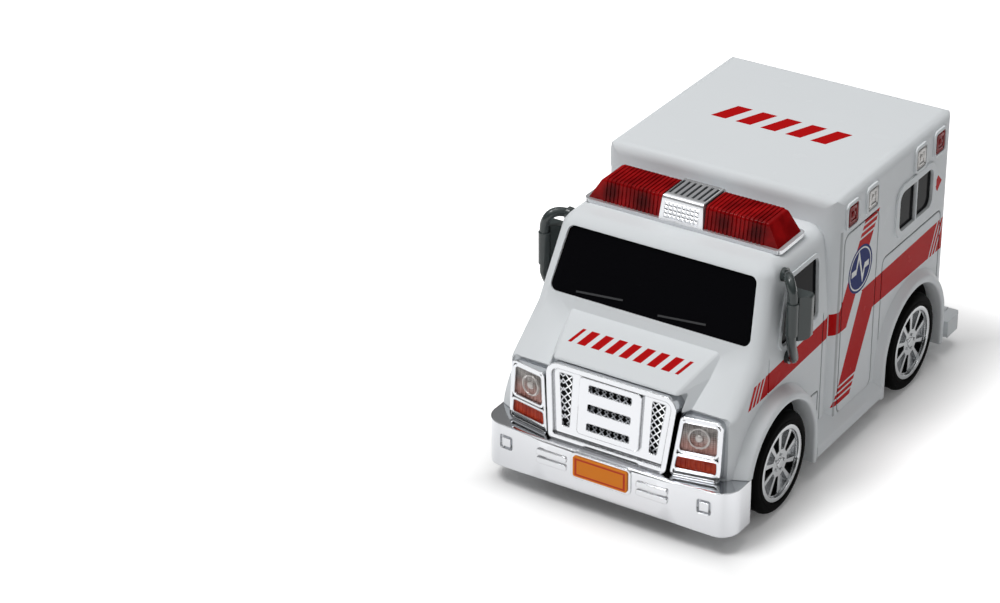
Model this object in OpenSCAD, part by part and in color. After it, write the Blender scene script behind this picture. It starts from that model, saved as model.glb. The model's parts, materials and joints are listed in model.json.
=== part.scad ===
// Toy ambulance with a moulded shell, a lamp bar, rolling wheelsets and a pull-back spring motor.
// Millimetres. The origin is on the ground under the middle of the toy, +Z is up, the cab faces -Y.

/* [Box body] */
// Width of the box over its side walls
box_width = 65.6; // [60:0.1:70]
// Length of the box from its front wall to its rear wall
box_length = 63.9; // [59:0.1:68]
// Height of the box roof above the ground
roof_height = 71.6; // [68:0.1:78]
// Rounding along the edges of the roof
roof_edge_radius = 2.8; // [1.5:0.1:3.5]
// Rounding of the box's upright corners
box_corner_radius = 4; // [2.5:0.1:5]
// Thickness of the shell
wall = 2.2; // [1.8:0.1:2.5]
// Height of the lower edge of the shell's sides
skirt_height = 5.1; // [4.6:0.1:5.6]
// Depth of the rear step behind the box
step_depth = 8.5; // [7:0.1:10]

/* [Cab] */
// Step in from the box's sides to the cab's sides
cab_step = 1.4; // [1:0.1:2.2]
// Step down from the box roof to the cab roof
roof_step = 7.2; // [6:0.1:8.5]
// Length of the cab from the box to the foot of the windscreen
cab_length = 36; // [34:0.1:38]
// Length of the nose ahead of the windscreen's foot
nose_length = 12.3; // [11.8:0.1:13]
// Height of the belt line where the upper cab starts to lean in
belt_line = 42.5; // [41.5:0.1:43.5]
// Rake of the windscreen from upright, in degrees
screen_rake = 23.5; // [22:0.5:25]
// Lean of the cab's sides above the belt line, in degrees
tumblehome = 6; // [4.5:0.5:7]
// Rounding of the cab's upright corners
pillar_radius = 3.6; // [2.6:0.1:4.2]
// Rounding of the cab roof's edges
cab_roof_radius = 4.4; // [3:0.1:5]
// Drop from the belt line to the front edge of the wings
wing_drop = 8.9; // [8.4:0.1:9.4]
// Drop from the belt line to the front edge of the raised bonnet
bonnet_drop = 4.1; // [3.6:0.1:4.4]

/* [Wheels] */
// Distance from the front of the wings back to the front axle
front_overhang = 21; // [20.6:0.1:21.6]
// Distance from the box's rear wall forward to the rear axle
rear_overhang = 20.5; // [20:0.1:22]
// Outer radius of the tyres
tyre_radius = 13.2; // [12.6:0.1:13.6]
// Width of the tyres
tyre_width = 9; // [8.2:0.1:9.8]
// Radius of the rim under the tyre
rim_radius = 9.5; // [9:0.1:10]
// Number of spokes
spokes = 5; // [4:1:6]
// Distance of the wheels' outer faces past the box sides
wheel_stand_out = 1.6; // [1:0.1:2]
// Radius of the axles
axle_radius = 1.2; // [1:0.05:1.4]
// Radius of the wheel arches
arch_radius = 16.2; // [15.8:0.1:16.6]
// Distance of the flares and sills past the box sides
flare_stand_out = 2.1; // [1.6:0.1:2.6]
// Width of the flare round an arch
flare_width = 3.4; // [2.6:0.1:3.8]

/* [Front] */
// Distance of the bumper's ends past the box sides
bumper_stand_out = 2; // [1.2:0.1:2.4]
// Height of the bumper's top ledge
bumper_top = 17.4; // [16.8:0.1:17.8]
// Height of the bumper's lower edge
bumper_low = 5.2; // [4.6:0.1:5.8]
// Distance of the bumper's front ahead of the wings
bumper_reach = 6.7; // [6.2:0.1:7.4]
// Thickness of the bumper's wall
bumper_wall = 2.4; // [1.8:0.1:2.8]
// Lean of the grille from upright, in degrees
grille_lean = 6; // [4.5:0.5:7]
// Number of slots in the grille's centre panel
grille_slots = 3; // [2:1:4]

/* [Lamps] */
// Width of a box lamp lens
lens_width = 5.4; // [4.8:0.1:5.8]
// Height of a box lamp lens
lens_height = 5.8; // [5:0.1:6]
// Drop from the box roof to the lamps' middle line
lamp_drop = 5.9; // [5.4:0.1:6.6]
// Step in from the cab's sides to the ends of the lamp bar
bar_inset = 4; // [3.4:0.1:4.6]
// Depth of the lamp bar from front to rear
bar_depth = 13.4; // [12:0.1:14]
// Height of the lamp bar's lenses above its base
bar_height = 5.8; // [5:0.1:6.6]
// Spacing of the ribs on the lamp bar's lenses
rib_pitch = 1.1; // [1:0.05:1.4]

/* [Motor] */
// Teeth of the gear on the rear axle
axle_teeth = 14; // [13:1:16]
// Teeth of the idler's wheel
idler_teeth = 30; // [28:1:30]
// Teeth of the idler's pinion
pinion_teeth = 12; // [12:1:13]
// Teeth of the spring barrel's gear
barrel_teeth = 34; // [32:1:34]
// Size of the teeth, pitch diameter per tooth
gear_module = 0.6; // [0.57:0.01:0.6]

/* [Hidden] */
// Piece names
$fn = 48;

// Overrun of every cut past the face that it opens
over = 1;
// Steps in a rounded corner of an outline
corner_steps = 7;
// Thickness of the slices that a lofted form is stretched over
slice = 0.02;
// Gap between pieces that drop into one another
seat_gap = 0.05;
// Gap between the chassis and the inside of the shell
chassis_gap = 0.15;
// Radial running fit of the axles and arbors
running_fit = 0.06;

// Halves, heights and places that the pieces share
box_rear = 55.6;
box_half = box_width / 2;
box_front = box_rear - box_length;
step_rear = box_rear + step_depth;
cab_half = box_half - cab_step;
cab_width = 2 * cab_half;
cab_roof = roof_height - roof_step;
screen_base = box_front - cab_length;
nose_front = screen_base - nose_length;
wing_height = belt_line - wing_drop;
bonnet_height = belt_line - bonnet_drop;
lamp_line = roof_height - lamp_drop;
axle_height = tyre_radius;
front_axle_y = nose_front + front_overhang;
rear_axle_y = box_rear - rear_overhang;
wheelbase = rear_axle_y - front_axle_y;
wheel_face = box_half + wheel_stand_out;
wheel_back = wheel_face - tyre_width;
flare_face = box_half + flare_stand_out;
bumper_half = box_half + bumper_stand_out;
bumper_front = nose_front - bumper_reach;

// How far the chassis plate stands below the skirt, and the plate's thickness
chassis_drop = 0.1;
chassis_plate = 2.5;
chassis_low = skirt_height - chassis_drop;
chassis_top = chassis_low + chassis_plate;
// Wall of the wheel tubs, room behind the wheels, and the tubs' inner faces
tub_wall = 0.7;
wheel_room = 2.9;
tub_face = wheel_back - wheel_room;
tub_disc = 1;
// Flat seat for the chrome front, cut back from the front of the wings
nose_step = 1.6;
nose_seat = nose_front + nose_step;
// Half widths of the seat, of the grille's top and of the part under the bonnet
seat_margin = 1.3;
bezel_cover = 11.7;
grille_gap = 0.2;
seat_half = cab_half - seat_margin;
grille_half = seat_half - bezel_cover;
bonnet_seat_half = grille_half + grille_gap;
// Height of the grille along its lean
bonnet_lip = 1;
grille_height = (bonnet_height - bumper_top - bonnet_lip) / cos(grille_lean);

// A point's first two numbers
function flat(p) = [p[0], p[1]];
// Points of one rounded corner: the corner p, its neighbours a and b, and its radius
function corner(p, a, b, r) =
  r <= 0 ? [p] :
  let (u = (a - p) / norm(a - p),
    v = (b - p) / norm(b - p), half = acos(u * v) / 2,
    c = p + (u + v) / norm(u + v) * r / sin(half),
    s = p + u * r / tan(half) - c,
    e = p + v * r / tan(half) - c, from = atan2(s[1], s[0]),
    turn = (atan2(e[1], e[0]) - from + 540) % 360 - 180)
  [for (i = [0 : corner_steps])
    c + r * [cos(from + turn * i / corner_steps), sin(from + turn * i / corner_steps)]];
// An outline of [x, y, radius] corners with its corners rounded
function rounded(pts) =
  let (n = len(pts))
  [for (i = [0 : n - 1])
    each corner(flat(pts[i]), flat(pts[(i + n - 1) % n]), flat(pts[(i + 1) % n]), pts[i][2])];
// An outline of corners, listed anticlockwise, moved in by d
function inset(pts, d) =
  let (n = len(pts))
  [for (i = [0 : n - 1])
    let (a = flat(pts[(i + n - 1) % n]),
      b = flat(pts[i]),
      c = flat(pts[(i + 1) % n]),
      u = (b - a) / norm(b - a),
      v = (c - b) / norm(c - b),
      m = [-u[1], u[0]],
      k = [-v[1], v[0]],
      q = b + (m + k) * d / (1 + m * k))
    [q[0], q[1], max(pts[i][2] - d, 0)]];
// The corners of a box from x0, y0 to x1, y1 with radius r
function box_pts(x0, y0, x1, y1, r) = [[x0, y0, r], [x1, y0, r], [x1, y1, r], [x0, y1, r]];
// Corners mirrored left to right, kept anticlockwise
function flip(pts) = [for (i = [len(pts) - 1 : -1 : 0]) [-pts[i][0], pts[i][1], pts[i][2]]];
// Points of a curve with one control point
function curve(a, b, c, n) = [for (i = [0 : n]) let (t = i / n)
  a * (1 - t) * (1 - t) + b * 2 * t * (1 - t) + c * t * t];

// An outline raised by h from height z
module slab(z, h) translate([0, 0, z]) linear_extrude(h) children();
// An outline drawn in width and height, carried along Y from y0 for depth d
module along_y(y0, d) {
  translate([0, y0 + d, 0])
    rotate([90, 0, 0])
      linear_extrude(d)
        children();
}
// An outline drawn in Y and Z, carried along X from x0 for depth d
module along_x(x0, d) {
  translate([x0, 0, 0])
    rotate([90, 0, 90])
      linear_extrude(d)
        children();
}
// The same shape on the left and mirrored on the right
module both_sides() {
  children();
  mirror([1, 0, 0])
    children();
}
// A shape on one side: side is 1 for left and -1 for right
module on_side(side) mirror([side < 0 ? 1 : 0, 0, 0]) children();
// A rounded outline as a flat shape
module shape(pts) polygon(rounded(pts));
// A flat band of width w inside an outline
module band(pts, w) {
  difference() {
    shape(pts);
    shape(inset(pts, w));
  }
}

// Box body
box_plan = box_pts(-box_half, box_front, box_half, box_rear, box_corner_radius);
module box_form(d, bottom) {
  intersection() {
    slab(bottom, roof_height - bottom)
      shape(inset(box_plan, d));
    along_y(box_front, box_length)
      shape(inset(box_pts(-box_half, -roof_height, box_half, roof_height, roof_edge_radius), d));
    along_x(-box_half, box_width)
      shape(inset(box_pts(box_front, -roof_height, box_rear, roof_height, roof_edge_radius), d));
  }
}

// Cab: half width and screen place at a height above the belt line
function cab_half_at(z) = cab_half - (z - belt_line) * tan(tumblehome);
function screen_at(z) = screen_base + (z - belt_line) * tan(screen_rake);
// Start of the roof's rounding, and the cab's rear end
roof_start = cab_roof - cab_roof_radius;
cab_tail = box_front + wall;
roof_steps = 4;
// Depth of the soft edge along the top of the wings
wing_edge = 1.2;
module cab_slice(z, front, half, r, d) {
  slab(z, slice)
    shape(inset(box_pts(-half, front, half, cab_tail + d, r), d));
}
module upper_cab(d) {
  hull() {
    cab_slice(belt_line - slice, screen_base, cab_half, pillar_radius, d);
    for (i = [0 : roof_steps])
      let (a = 90 * i / roof_steps, e = (cab_roof_radius - d) * (1 - cos(a)))
      cab_slice(roof_start + (cab_roof_radius - d) * sin(a) - slice, screen_at(roof_start) + e,
        cab_half_at(roof_start) - e, pillar_radius, d);
  }
}
module lower_cab(d, bottom) {
  hull() {
    cab_slice(bottom, nose_front, cab_half, pillar_radius, d);
    cab_slice(wing_height - wing_edge - d / 2, nose_front, cab_half, pillar_radius, d);
    cab_slice(wing_height - d / 2, nose_front + wing_edge, cab_half, pillar_radius, d);
    cab_slice(belt_line - slice, screen_base, cab_half, pillar_radius, d);
  }
}
// Raised bonnet with its two ridges
ridge_inset = 0.8;
ridge_spread = 3.8;
ridge_front_half = grille_half - ridge_inset;
ridge_rear_half = ridge_front_half + ridge_spread;
ridge_radius = 1.2;
ridge_flare = 2.2;
bonnet_overhang = 1.1;
bonnet_rear_rise = 1.9;
bonnet_rear_z = belt_line + bonnet_rear_rise;
module bonnet() {
  hull()
    both_sides() {
      translate([ridge_front_half - ridge_radius, nose_front - bonnet_overhang + ridge_radius,
        bonnet_height - ridge_radius])
        sphere(ridge_radius, $fn = 20);
      translate([ridge_rear_half - ridge_radius, screen_base + wall, bonnet_rear_z - ridge_radius])
        sphere(ridge_radius, $fn = 20);
      translate([0, nose_front - bonnet_overhang, wing_height - ridge_flare])
        cube([ridge_front_half + ridge_flare, slice, slice]);
      translate([0, screen_base + wall, belt_line - ridge_flare])
        cube([ridge_rear_half + ridge_flare, slice, slice]);
    }
}

// Wheel places
function axle_y(rear) = rear ? rear_axle_y : front_axle_y;
// Outline of an arch of radius r in Y and Z, open below
module arch_shape(rear, r) {
  translate([axle_y(rear), 0])
    intersection() {
      union() {
        translate([0, axle_height])
          circle(r);
        translate([-r, 0])
          square([2 * r, axle_height]);
      }
      translate([-r - over, 0])
        square([2 * (r + over), axle_height + r + over]);
    }
}
// Section of a flare, softened outside
flare_round = 1.2;
function flare_section(half) = [
  [arch_radius, half - wall, 0], [arch_radius + flare_width, half - wall, 0],
  [arch_radius + flare_width, half, 0], [arch_radius + flare_width / 2, flare_face, flare_round],
  [arch_radius, flare_face, flare_round / 2]];
module flare(rear, half) {
  translate([0, axle_y(rear), axle_height]) {
    rotate([90, 0, 90])
      rotate_extrude(angle = 180)
        shape(flare_section(half));
    for (flip_side = [0, 1])
      mirror([0, flip_side, 0])
        slab(skirt_height - axle_height, axle_height - skirt_height)
          rotate(90)
            mirror([0, 1, 0])
              shape(flare_section(half));
  }
}
// Sill between the arches
sill_height = 3.6;
sill_slope = 2.2;
module sill() {
  translate([0, front_axle_y + arch_radius + flare_width / 2, 0])
    rotate([90, 0, 180])
      mirror([1, 0, 0])
        linear_extrude(wheelbase - 2 * arch_radius - flare_width)
          shape([[box_half - wall, skirt_height, 0], [flare_face, skirt_height, sill_slope / 2],
            [flare_face, skirt_height + sill_height, sill_slope / 2],
            [box_half - wall, skirt_height + sill_height + 2 * sill_slope, 0]]);
}

// Height of the rear step from the skirt's lower edge
step_height = 4.7;
// Box lamps: their rims, pockets and rounding
rim_height = 0.55;
pocket_depth = 1.2;
lens_corner = 0.9;
rim_width = 0.8;
lens_step = 0.9;
lens_step_height = 0.22;
// Distances of the side lamps from the box's front and rear walls
side_front_red = 7;
side_front_clear = 17.6;
side_rear_red = 8.9;
side_rear_clear = 19.7;
side_red_places = [box_front + side_front_red, box_rear - side_rear_red];
side_clear_places = [box_front + side_front_clear, box_rear - side_rear_clear];
// Rear lamps: distance in from the box's sides, and heights above the step
lamp_inset = 8.8;
column_clear_rise = 5.8;
column_red_rise = 15.1;
column_amber_rise = 25.1;
step_top = skirt_height + step_height;
lamp_spread = box_half - lamp_inset;
lamp_pitch = lamp_spread / 2;
column_clear = step_top + column_clear_rise;
column_red = step_top + column_red_rise;
column_amber = step_top + column_amber_rise;
function pair(x, z) = [[-x, z], [x, z]];
rear_red_places = concat([[0, lamp_line]], pair(lamp_spread, lamp_line), pair(lamp_spread, column_red));
rear_amber_places = pair(lamp_spread, column_amber);
rear_clear_places = concat(pair(lamp_pitch, lamp_line), pair(lamp_spread, column_clear));
lens_pts = box_pts(-lens_width / 2, -lens_height / 2, lens_width / 2, lens_height / 2, lens_corner);
// A jewel lens drawn upward from the floor of its pocket
module jewel() {
  depth = pocket_depth + rim_height - lens_step_height;
  linear_extrude(depth)
    shape(inset(lens_pts, seat_gap));
  linear_extrude(depth + lens_step_height)
    band(inset(lens_pts, seat_gap + lens_step / 2), lens_step);
  linear_extrude(depth + lens_step_height)
    circle(lens_step);
}
module at_side_lamp(y) translate([box_half, y, lamp_line]) rotate([90, 0, 90]) children();
module at_rear_lamp(p) translate([p[0], box_rear, p[1]]) rotate([90, 0, 180]) children();
module lamp_rim() slab(-wall / 2, wall / 2 + rim_height) shape(inset(lens_pts, -rim_width));
module lamp_pocket() slab(-pocket_depth, pocket_depth + rim_height + over) shape(lens_pts);
module at_all_lamps() {
  both_sides()
    for (y = concat(side_red_places, side_clear_places))
      at_side_lamp(y)
        children();
  for (p = concat(rear_red_places, rear_amber_places, rear_clear_places))
    at_rear_lamp(p)
      children();
}

// Door lines: width and depth of the grooves
groove = 0.5;
groove_sink = 0.4;
// Compartment doors behind the cab, with the wheel panels behind them
door_front_margin = 3.8;
door_low = 10.5;
door_drop = 10.6;
door_corner = 2.6;
door_gap = 1.3;
right_door_low = 12.3;
right_door_rise = 1.6;
right_door_corner = 1.6;
door_front = box_front + door_front_margin;
door_rear = rear_axle_y - arch_radius - flare_width;
left_door = box_pts(door_front, door_low, door_rear - door_gap, roof_height - door_drop, door_corner);
right_door = box_pts(door_front, right_door_low, door_rear, belt_line + right_door_rise,
  right_door_corner);
wheel_panel_gap = 1.7;
wheel_panel_low = 20;
wheel_panel_rise = 2.7;
wheel_panel_margin = 4.8;
wheel_panel_corner = 2.2;
right_panel_margin = 3;
right_panel_corner = 1.4;
wheel_panel_front = door_rear + wheel_panel_gap;
left_panel = box_pts(wheel_panel_front, wheel_panel_low, box_rear - wheel_panel_margin,
  belt_line + wheel_panel_rise, wheel_panel_corner);
right_panel = box_pts(wheel_panel_front, wheel_panel_low, box_rear - right_panel_margin,
  belt_line + right_door_rise, right_panel_corner);
// Rear doors with a rail, windows and handles
rear_door_inset = 13.7;
rear_door_drop = 4.8;
rail_width = 2.9;
rail_gap = 0.5;
rail_height = 0.7;
rear_door_half = box_half - rear_door_inset;
rear_door_top = lamp_line - rear_door_drop;
rail_top = rear_door_top - rail_gap;
rail_bottom = rail_top - rail_width;
rear_window_in = 4;
rear_window_margin = 4.2;
rear_window_drop = 5.9;
rear_window_height = 10.6;
rear_window_corner = 1.4;
rear_window_top = rail_bottom - rear_window_drop;
rear_window = box_pts(rear_window_in, rear_window_top - rear_window_height,
  rear_door_half - rear_window_margin, rear_window_top, rear_window_corner);
frame_width = 1.1;
frame_height = 0.5;
handle_in = 1;
handle_width = 3;
handle_drop = 4.5;
handle_height = 5.7;
handle_corner = 0.8;
handle_rim = 0.5;
handle_top = rear_window_top - rear_window_height - handle_drop;
handle = box_pts(handle_in, handle_top - handle_height, handle_in + handle_width, handle_top,
  handle_corner);
// Side window of the box with its mullion
side_window_margin = 11.9;
side_window_length = 18.7;
side_window_drop = 11.6;
side_window_height = 11;
side_window_corner = 2.4;
side_frame_width = 1.9;
mullion = 0.6;
side_window_rear = box_rear - side_window_margin;
side_window_top = roof_height - side_window_drop;
side_window = box_pts(side_window_rear - side_window_length, side_window_top - side_window_height,
  side_window_rear, side_window_top, side_window_corner);
// Cab door lines and the step panel under the door
cab_door_margin = 3.1;
cab_door_setback = 5.3;
cab_door_rear = box_front - cab_door_margin;
cab_door_front = screen_base + cab_door_setback;
cab_panel_gap = 0.8;
cab_panel_length = 6.2;
cab_panel_low = 9.6;
cab_panel_high = 21.6;
cab_panel_corner = 1;
cab_panel = box_pts(cab_door_rear - cab_panel_gap - cab_panel_length, cab_panel_low,
  cab_door_rear - cab_panel_gap, cab_panel_high, cab_panel_corner);
// Cab side window, drawn on the leaning side
window_low = 0.8;
window_roof_gap = 1.3;
window_high = roof_start - belt_line - window_roof_gap;
window_rear_margin = 6.5;
window_rear_lean = 2.2;
window_rear_low = box_front - window_rear_margin;
window_rear_high = window_rear_low + window_rear_lean;
pillar_width = 9.8;
window_corner = 1.6;
cab_window = [
  [screen_at(belt_line + window_low) + pillar_width, window_low, window_corner],
  [window_rear_low, window_low, window_corner], [window_rear_high, window_high, window_corner],
  [screen_at(belt_line + window_high) + pillar_width, window_high, window_corner]];
// Windscreen, drawn up its rake from the belt line
screen_low = 4.4;
screen_rise = 2.1;
screen_margin = 3.4;
screen_taper = 2;
screen_corner = 1.8;
screen_high = (roof_start - belt_line) / cos(screen_rake) + screen_rise;
screen_low_half = cab_half - screen_margin;
screen_high_half = screen_low_half - screen_taper;
windscreen = [[-screen_low_half, screen_low, screen_corner], [screen_low_half, screen_low, screen_corner],
  [screen_high_half, screen_high, screen_corner], [-screen_high_half, screen_high, screen_corner]];
// Depth of the glass below the shell's face
glass_depth = 0.35;
module on_cab_side() {
  translate([cab_half, 0, belt_line])
    rotate([0, -tumblehome, 0])
      rotate([90, 0, 90])
        children();
}
module on_screen() {
  translate([0, screen_base, belt_line])
    rotate([90 - screen_rake, 0, 0])
      children();
}

// Screw posts: places, radius, bore and height
post_radius = 3;
screw_radius = 1.1;
screw_bore = 1.15;
head_radius = 2.4;
head_height = 1.2;
screw_length = 9;
post_top = 24;
post_sink = 0.2;
side_post_margin = 2.2;
side_post_place = box_front - side_post_margin;
rear_post_spread = 14;
post_places = [
  [cab_half - wall - post_radius + post_sink, side_post_place],
  [-(cab_half - wall - post_radius + post_sink), side_post_place],
  [rear_post_spread, box_rear - wall - post_radius + post_sink],
  [-rear_post_spread, box_rear - wall - post_radius + post_sink]];

// Nose of the chassis under the shell
nose_inset = 10.1;
nose_half = seat_half - nose_inset;
nose_gap = 0.1;

module shell_lines() {
  // Left and right sides of the box
  along_x(box_half - groove_sink, groove_sink + over) {
    band(left_door, groove);
    band(left_panel, groove);
  }
  mirror([1, 0, 0])
    along_x(box_half - groove_sink, groove_sink + over) {
      band(right_door, groove);
      band(right_panel, groove);
    }
  // Rear doors
  along_y(box_rear - groove_sink, groove_sink + over) {
    difference() {
      band(box_pts(-rear_door_half, 0, rear_door_half, rear_door_top, groove), groove);
      translate([-rear_door_half, 0])
        square([2 * rear_door_half, groove]);
    }
    translate([-groove / 2, 0])
      square([groove, rail_bottom]);
  }
  // Cab doors and the step panels below them
  both_sides()
    along_x(cab_half - groove_sink, groove_sink + over) {
      translate([cab_door_rear, skirt_height])
        square([groove, belt_line - skirt_height]);
      translate([cab_door_front, axle_height])
        square([groove, belt_line - axle_height]);
      band(cab_panel, groove);
    }
}
module shell_trim() {
  both_sides() {
    // Rear window frames and door handles
    along_y(box_rear - wall / 2, wall / 2 + frame_height) {
      shape(inset(rear_window, -frame_width));
      band(handle, handle_rim);
      shape(inset(handle, 2 * handle_rim));
    }
    // Cab window frames
    on_cab_side()
      slab(-wall / 2, wall / 2 + frame_height)
        shape(inset(cab_window, -frame_width));
  }
  // Rail over the rear doors
  along_y(box_rear - wall / 2, wall / 2 + rail_height)
    shape(box_pts(-rear_door_half - groove, rail_bottom, rear_door_half + groove, rail_top, groove));
  // Side window frame
  along_x(box_half - wall / 2, wall / 2 + frame_height)
    shape(inset(side_window, -side_frame_width));
}
module shell_windows() {
  both_sides() {
    along_y(box_rear - wall - over, wall + frame_height + 2 * over)
      shape(rear_window);
    on_cab_side()
      slab(-wall - over, wall + frame_height + 2 * over)
        shape(cab_window);
  }
  on_screen()
    slab(-wall - 2 * over, wall + 3 * over)
      shape(windscreen);
  along_x(box_half - wall - over, wall + frame_height + 2 * over)
    difference() {
      shape(side_window);
      translate([(side_window[0][0] + side_window[1][0] - mullion) / 2, side_window[0][1]])
        square([mullion, side_window[2][1] - side_window[0][1]]);
    }
}

module body_shell() {
  color("white")
    difference() {
      union() {
        difference() {
          union() {
            box_form(0, skirt_height);
            upper_cab(0);
            lower_cab(0, skirt_height);
            bonnet();
          }
          // Hollow of the box and of the cab
          box_form(wall, skirt_height - over);
          hollow_cab();
          shell_lines();
        }
        both_sides() {
          flare(true, box_half);
          front_flare();
          sill();
        }
        at_all_lamps()
          lamp_rim();
        shell_trim();
        for (p = post_places)
          translate([p[0], p[1], chassis_top])
            cylinder(h = post_top - chassis_top, r = post_radius);
      }
      both_sides()
        for (rear = [true, false])
          along_x(tub_face, flare_face)
            arch_shape(rear, arch_radius);
      at_all_lamps()
        lamp_pocket();
      shell_windows();
      // Seat of the chrome front
      translate([-seat_half, nose_seat - box_width, bumper_top])
        cube([2 * seat_half, box_width, wing_height - bumper_top]);
      translate([-bonnet_seat_half, nose_seat - box_width, bumper_top])
        cube([2 * bonnet_seat_half, box_width, bonnet_seat_z - bumper_top]);
      // Ways out for the chassis nose and the rear step
      translate([-nose_half - nose_gap, nose_front - over, skirt_height - over])
        cube([2 * (nose_half + nose_gap), nose_seat - nose_front + wall + 2 * over,
          chassis_top - skirt_height + over + nose_gap]);
      translate([-box_half + wall, box_rear - wall - over, skirt_height - over])
        cube([box_width - 2 * wall, wall + 2 * over, step_top - skirt_height + over]);
      for (p = post_places)
        translate([p[0], p[1], chassis_top - over])
          cylinder(h = screw_length + over, r = screw_bore);
    }
}
// Height of the grille's seat under the bonnet
bonnet_seat_z = bumper_top + grille_height * cos(grille_lean) + nose_gap;
module hollow_cab() {
  intersection() {
    union() {
      upper_cab(wall);
      lower_cab(wall, skirt_height - over);
    }
    translate([-cab_half, nose_seat + wall, skirt_height - over])
      cube([cab_width, box_length, cab_roof]);
  }
}
module front_flare() {
  difference() {
    flare(false, cab_half);
    translate([cab_half - wall - over, front_axle_y - 2 * arch_radius, -over])
      cube([box_half, 2 * arch_radius, bumper_top + nose_gap + over]);
  }
}

// Chassis
module tub(side, rear) {
  half = rear ? box_half : cab_half;
  outer = half - wall - chassis_gap;
  on_side(side)
    difference() {
      along_x(tub_face - tub_disc, outer - tub_face + tub_disc)
        arch_shape(rear, arch_radius + tub_wall);
      along_x(tub_face, outer)
        arch_shape(rear, arch_radius);
      along_x(tub_face - tub_disc - over, tub_disc + 2 * over)
        translate([axle_y(rear), axle_height])
          circle(axle_radius + tub_hole_gap);
      translate([0, axle_y(rear) - box_length / 2, -over])
        cube([box_half, box_length, chassis_low + over]);
    }
}
// Room round an axle where it passes through a tub
tub_hole_gap = 0.8;
// Bearing blocks of the axles
bearing_width = 3.4;
bearing_half = 3;
bearing_gap = 2.5;
bearing_place = tub_face - tub_disc - bearing_gap - bearing_width;
module bearing(side, rear) {
  on_side(side)
    translate([bearing_place, axle_y(rear) - bearing_half, chassis_low])
      cube([bearing_width, 2 * bearing_half, axle_height - chassis_low + bearing_half]);
}
// Stiffening ribs under the chassis plate
belly_rib = 1;
belly_rib_sink = 0.8;
belly_ribs = 4;
module chassis_base() {
  front_half = cab_half - wall - chassis_gap;
  rear_half = box_half - wall - chassis_gap;
  inner_front = nose_seat + wall + chassis_gap;
  color("dimgray")
    difference() {
      union() {
        slab(chassis_low, chassis_plate) {
          shape(box_pts(-front_half, inner_front, front_half,
            box_front + 2 * wall + pillar_radius, pillar_radius - wall));
          shape(box_pts(-rear_half, box_front + wall + chassis_gap, rear_half,
            box_rear - wall - chassis_gap, box_corner_radius - wall));
          translate([-nose_half, bumper_front + bumper_bow + bumper_wall + seat_gap])
            square([2 * nose_half, inner_front - bumper_front]);
        }
        for (side = [-1, 1], rear = [true, false]) {
          tub(side, rear);
          bearing(side, rear);
        }
      }
      // Wheel openings
      for (side = [-1, 1], rear = [true, false])
        on_side(side)
          translate([tub_face, axle_y(rear) - arch_radius, chassis_low - over])
            cube([box_half, 2 * arch_radius, chassis_plate + 2 * over]);
      // Axle bores
      for (rear = [true, false])
        translate([-tub_face, axle_y(rear), axle_height])
          rotate([0, 90, 0])
            cylinder(h = 2 * tub_face, r = axle_radius + running_fit);
      // Screw holes with sunk heads
      for (p = concat(post_places, motor_holes))
        translate([p[0], p[1], chassis_low - over]) {
          cylinder(h = chassis_plate + 2 * over, r = screw_bore);
          cylinder(h = head_height + over, r = head_radius + seat_gap);
        }
      // Sunk fields between the ribs of the belly
      for (i = [0 : belly_ribs - 1])
        let (w = 2 * bearing_place / belly_ribs)
        translate([-bearing_place + i * w + belly_rib / 2, belly_front, chassis_low - over])
          cube([w - belly_rib, belly_length, belly_rib_sink + over]);
    }
}
// Field of ribs in the belly behind the front wheels
belly_gap = 4.6;
belly_length = 20;
belly_front = front_axle_y + arch_radius - belly_gap;

// Screws
head_sink = 0.1;
module screw(length) {
  translate([0, 0, head_sink]) {
    cylinder(h = head_height - head_sink, r = head_radius);
    cylinder(h = length - head_sink, r = screw_radius);
  }
}
module chassis_screws() {
  color("silver")
    for (p = post_places)
      translate([p[0], p[1], chassis_low])
        screw(screw_length);
}

// Rear step with its tread ribs and a tongue that lies on the chassis
step_corner = 3;
step_edge = 1.2;
step_bottom = skirt_height;
tread_ribs = 40;
tread_rib_share = 0.5;
tread_height = 0.35;
tread_length = 3.4;
tread_margin = 1.4;
tongue_half = 9;
tongue_length = 6;
module rear_step() {
  pitch = 2 * (flare_face - step_corner) / tread_ribs;
  color("white") {
    intersection() {
      slab(step_bottom, step_top - step_bottom)
        shape([[-flare_face, box_rear + seat_gap, 0], [flare_face, box_rear + seat_gap, 0],
          [flare_face, step_rear, step_corner], [-flare_face, step_rear, step_corner]]);
      along_x(-flare_face, 2 * flare_face)
        shape([[box_rear, step_bottom, 0], [step_rear, step_bottom, step_edge],
          [step_rear, step_top, step_edge], [box_rear, step_top, 0]]);
    }
    // Part under the box's rear wall, and the tongue
    translate([-box_half + wall + chassis_gap, box_rear - wall - chassis_gap + seat_gap, step_bottom])
      cube([2 * (box_half - wall - chassis_gap), wall + chassis_gap + over,
        step_top - step_bottom - seat_gap]);
    translate([-tongue_half, box_rear - wall - tongue_length, chassis_top])
      cube([2 * tongue_half, tongue_length + wall, step_top - chassis_top - seat_gap]);
    for (i = [0 : tread_ribs - 1])
      translate([-flare_face + step_corner + (i + (1 - tread_rib_share) / 2) * pitch,
        step_rear - tread_margin - tread_length, step_top - tread_height])
        cube([pitch * tread_rib_share, tread_length, 2 * tread_height]);
  }
}

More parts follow.
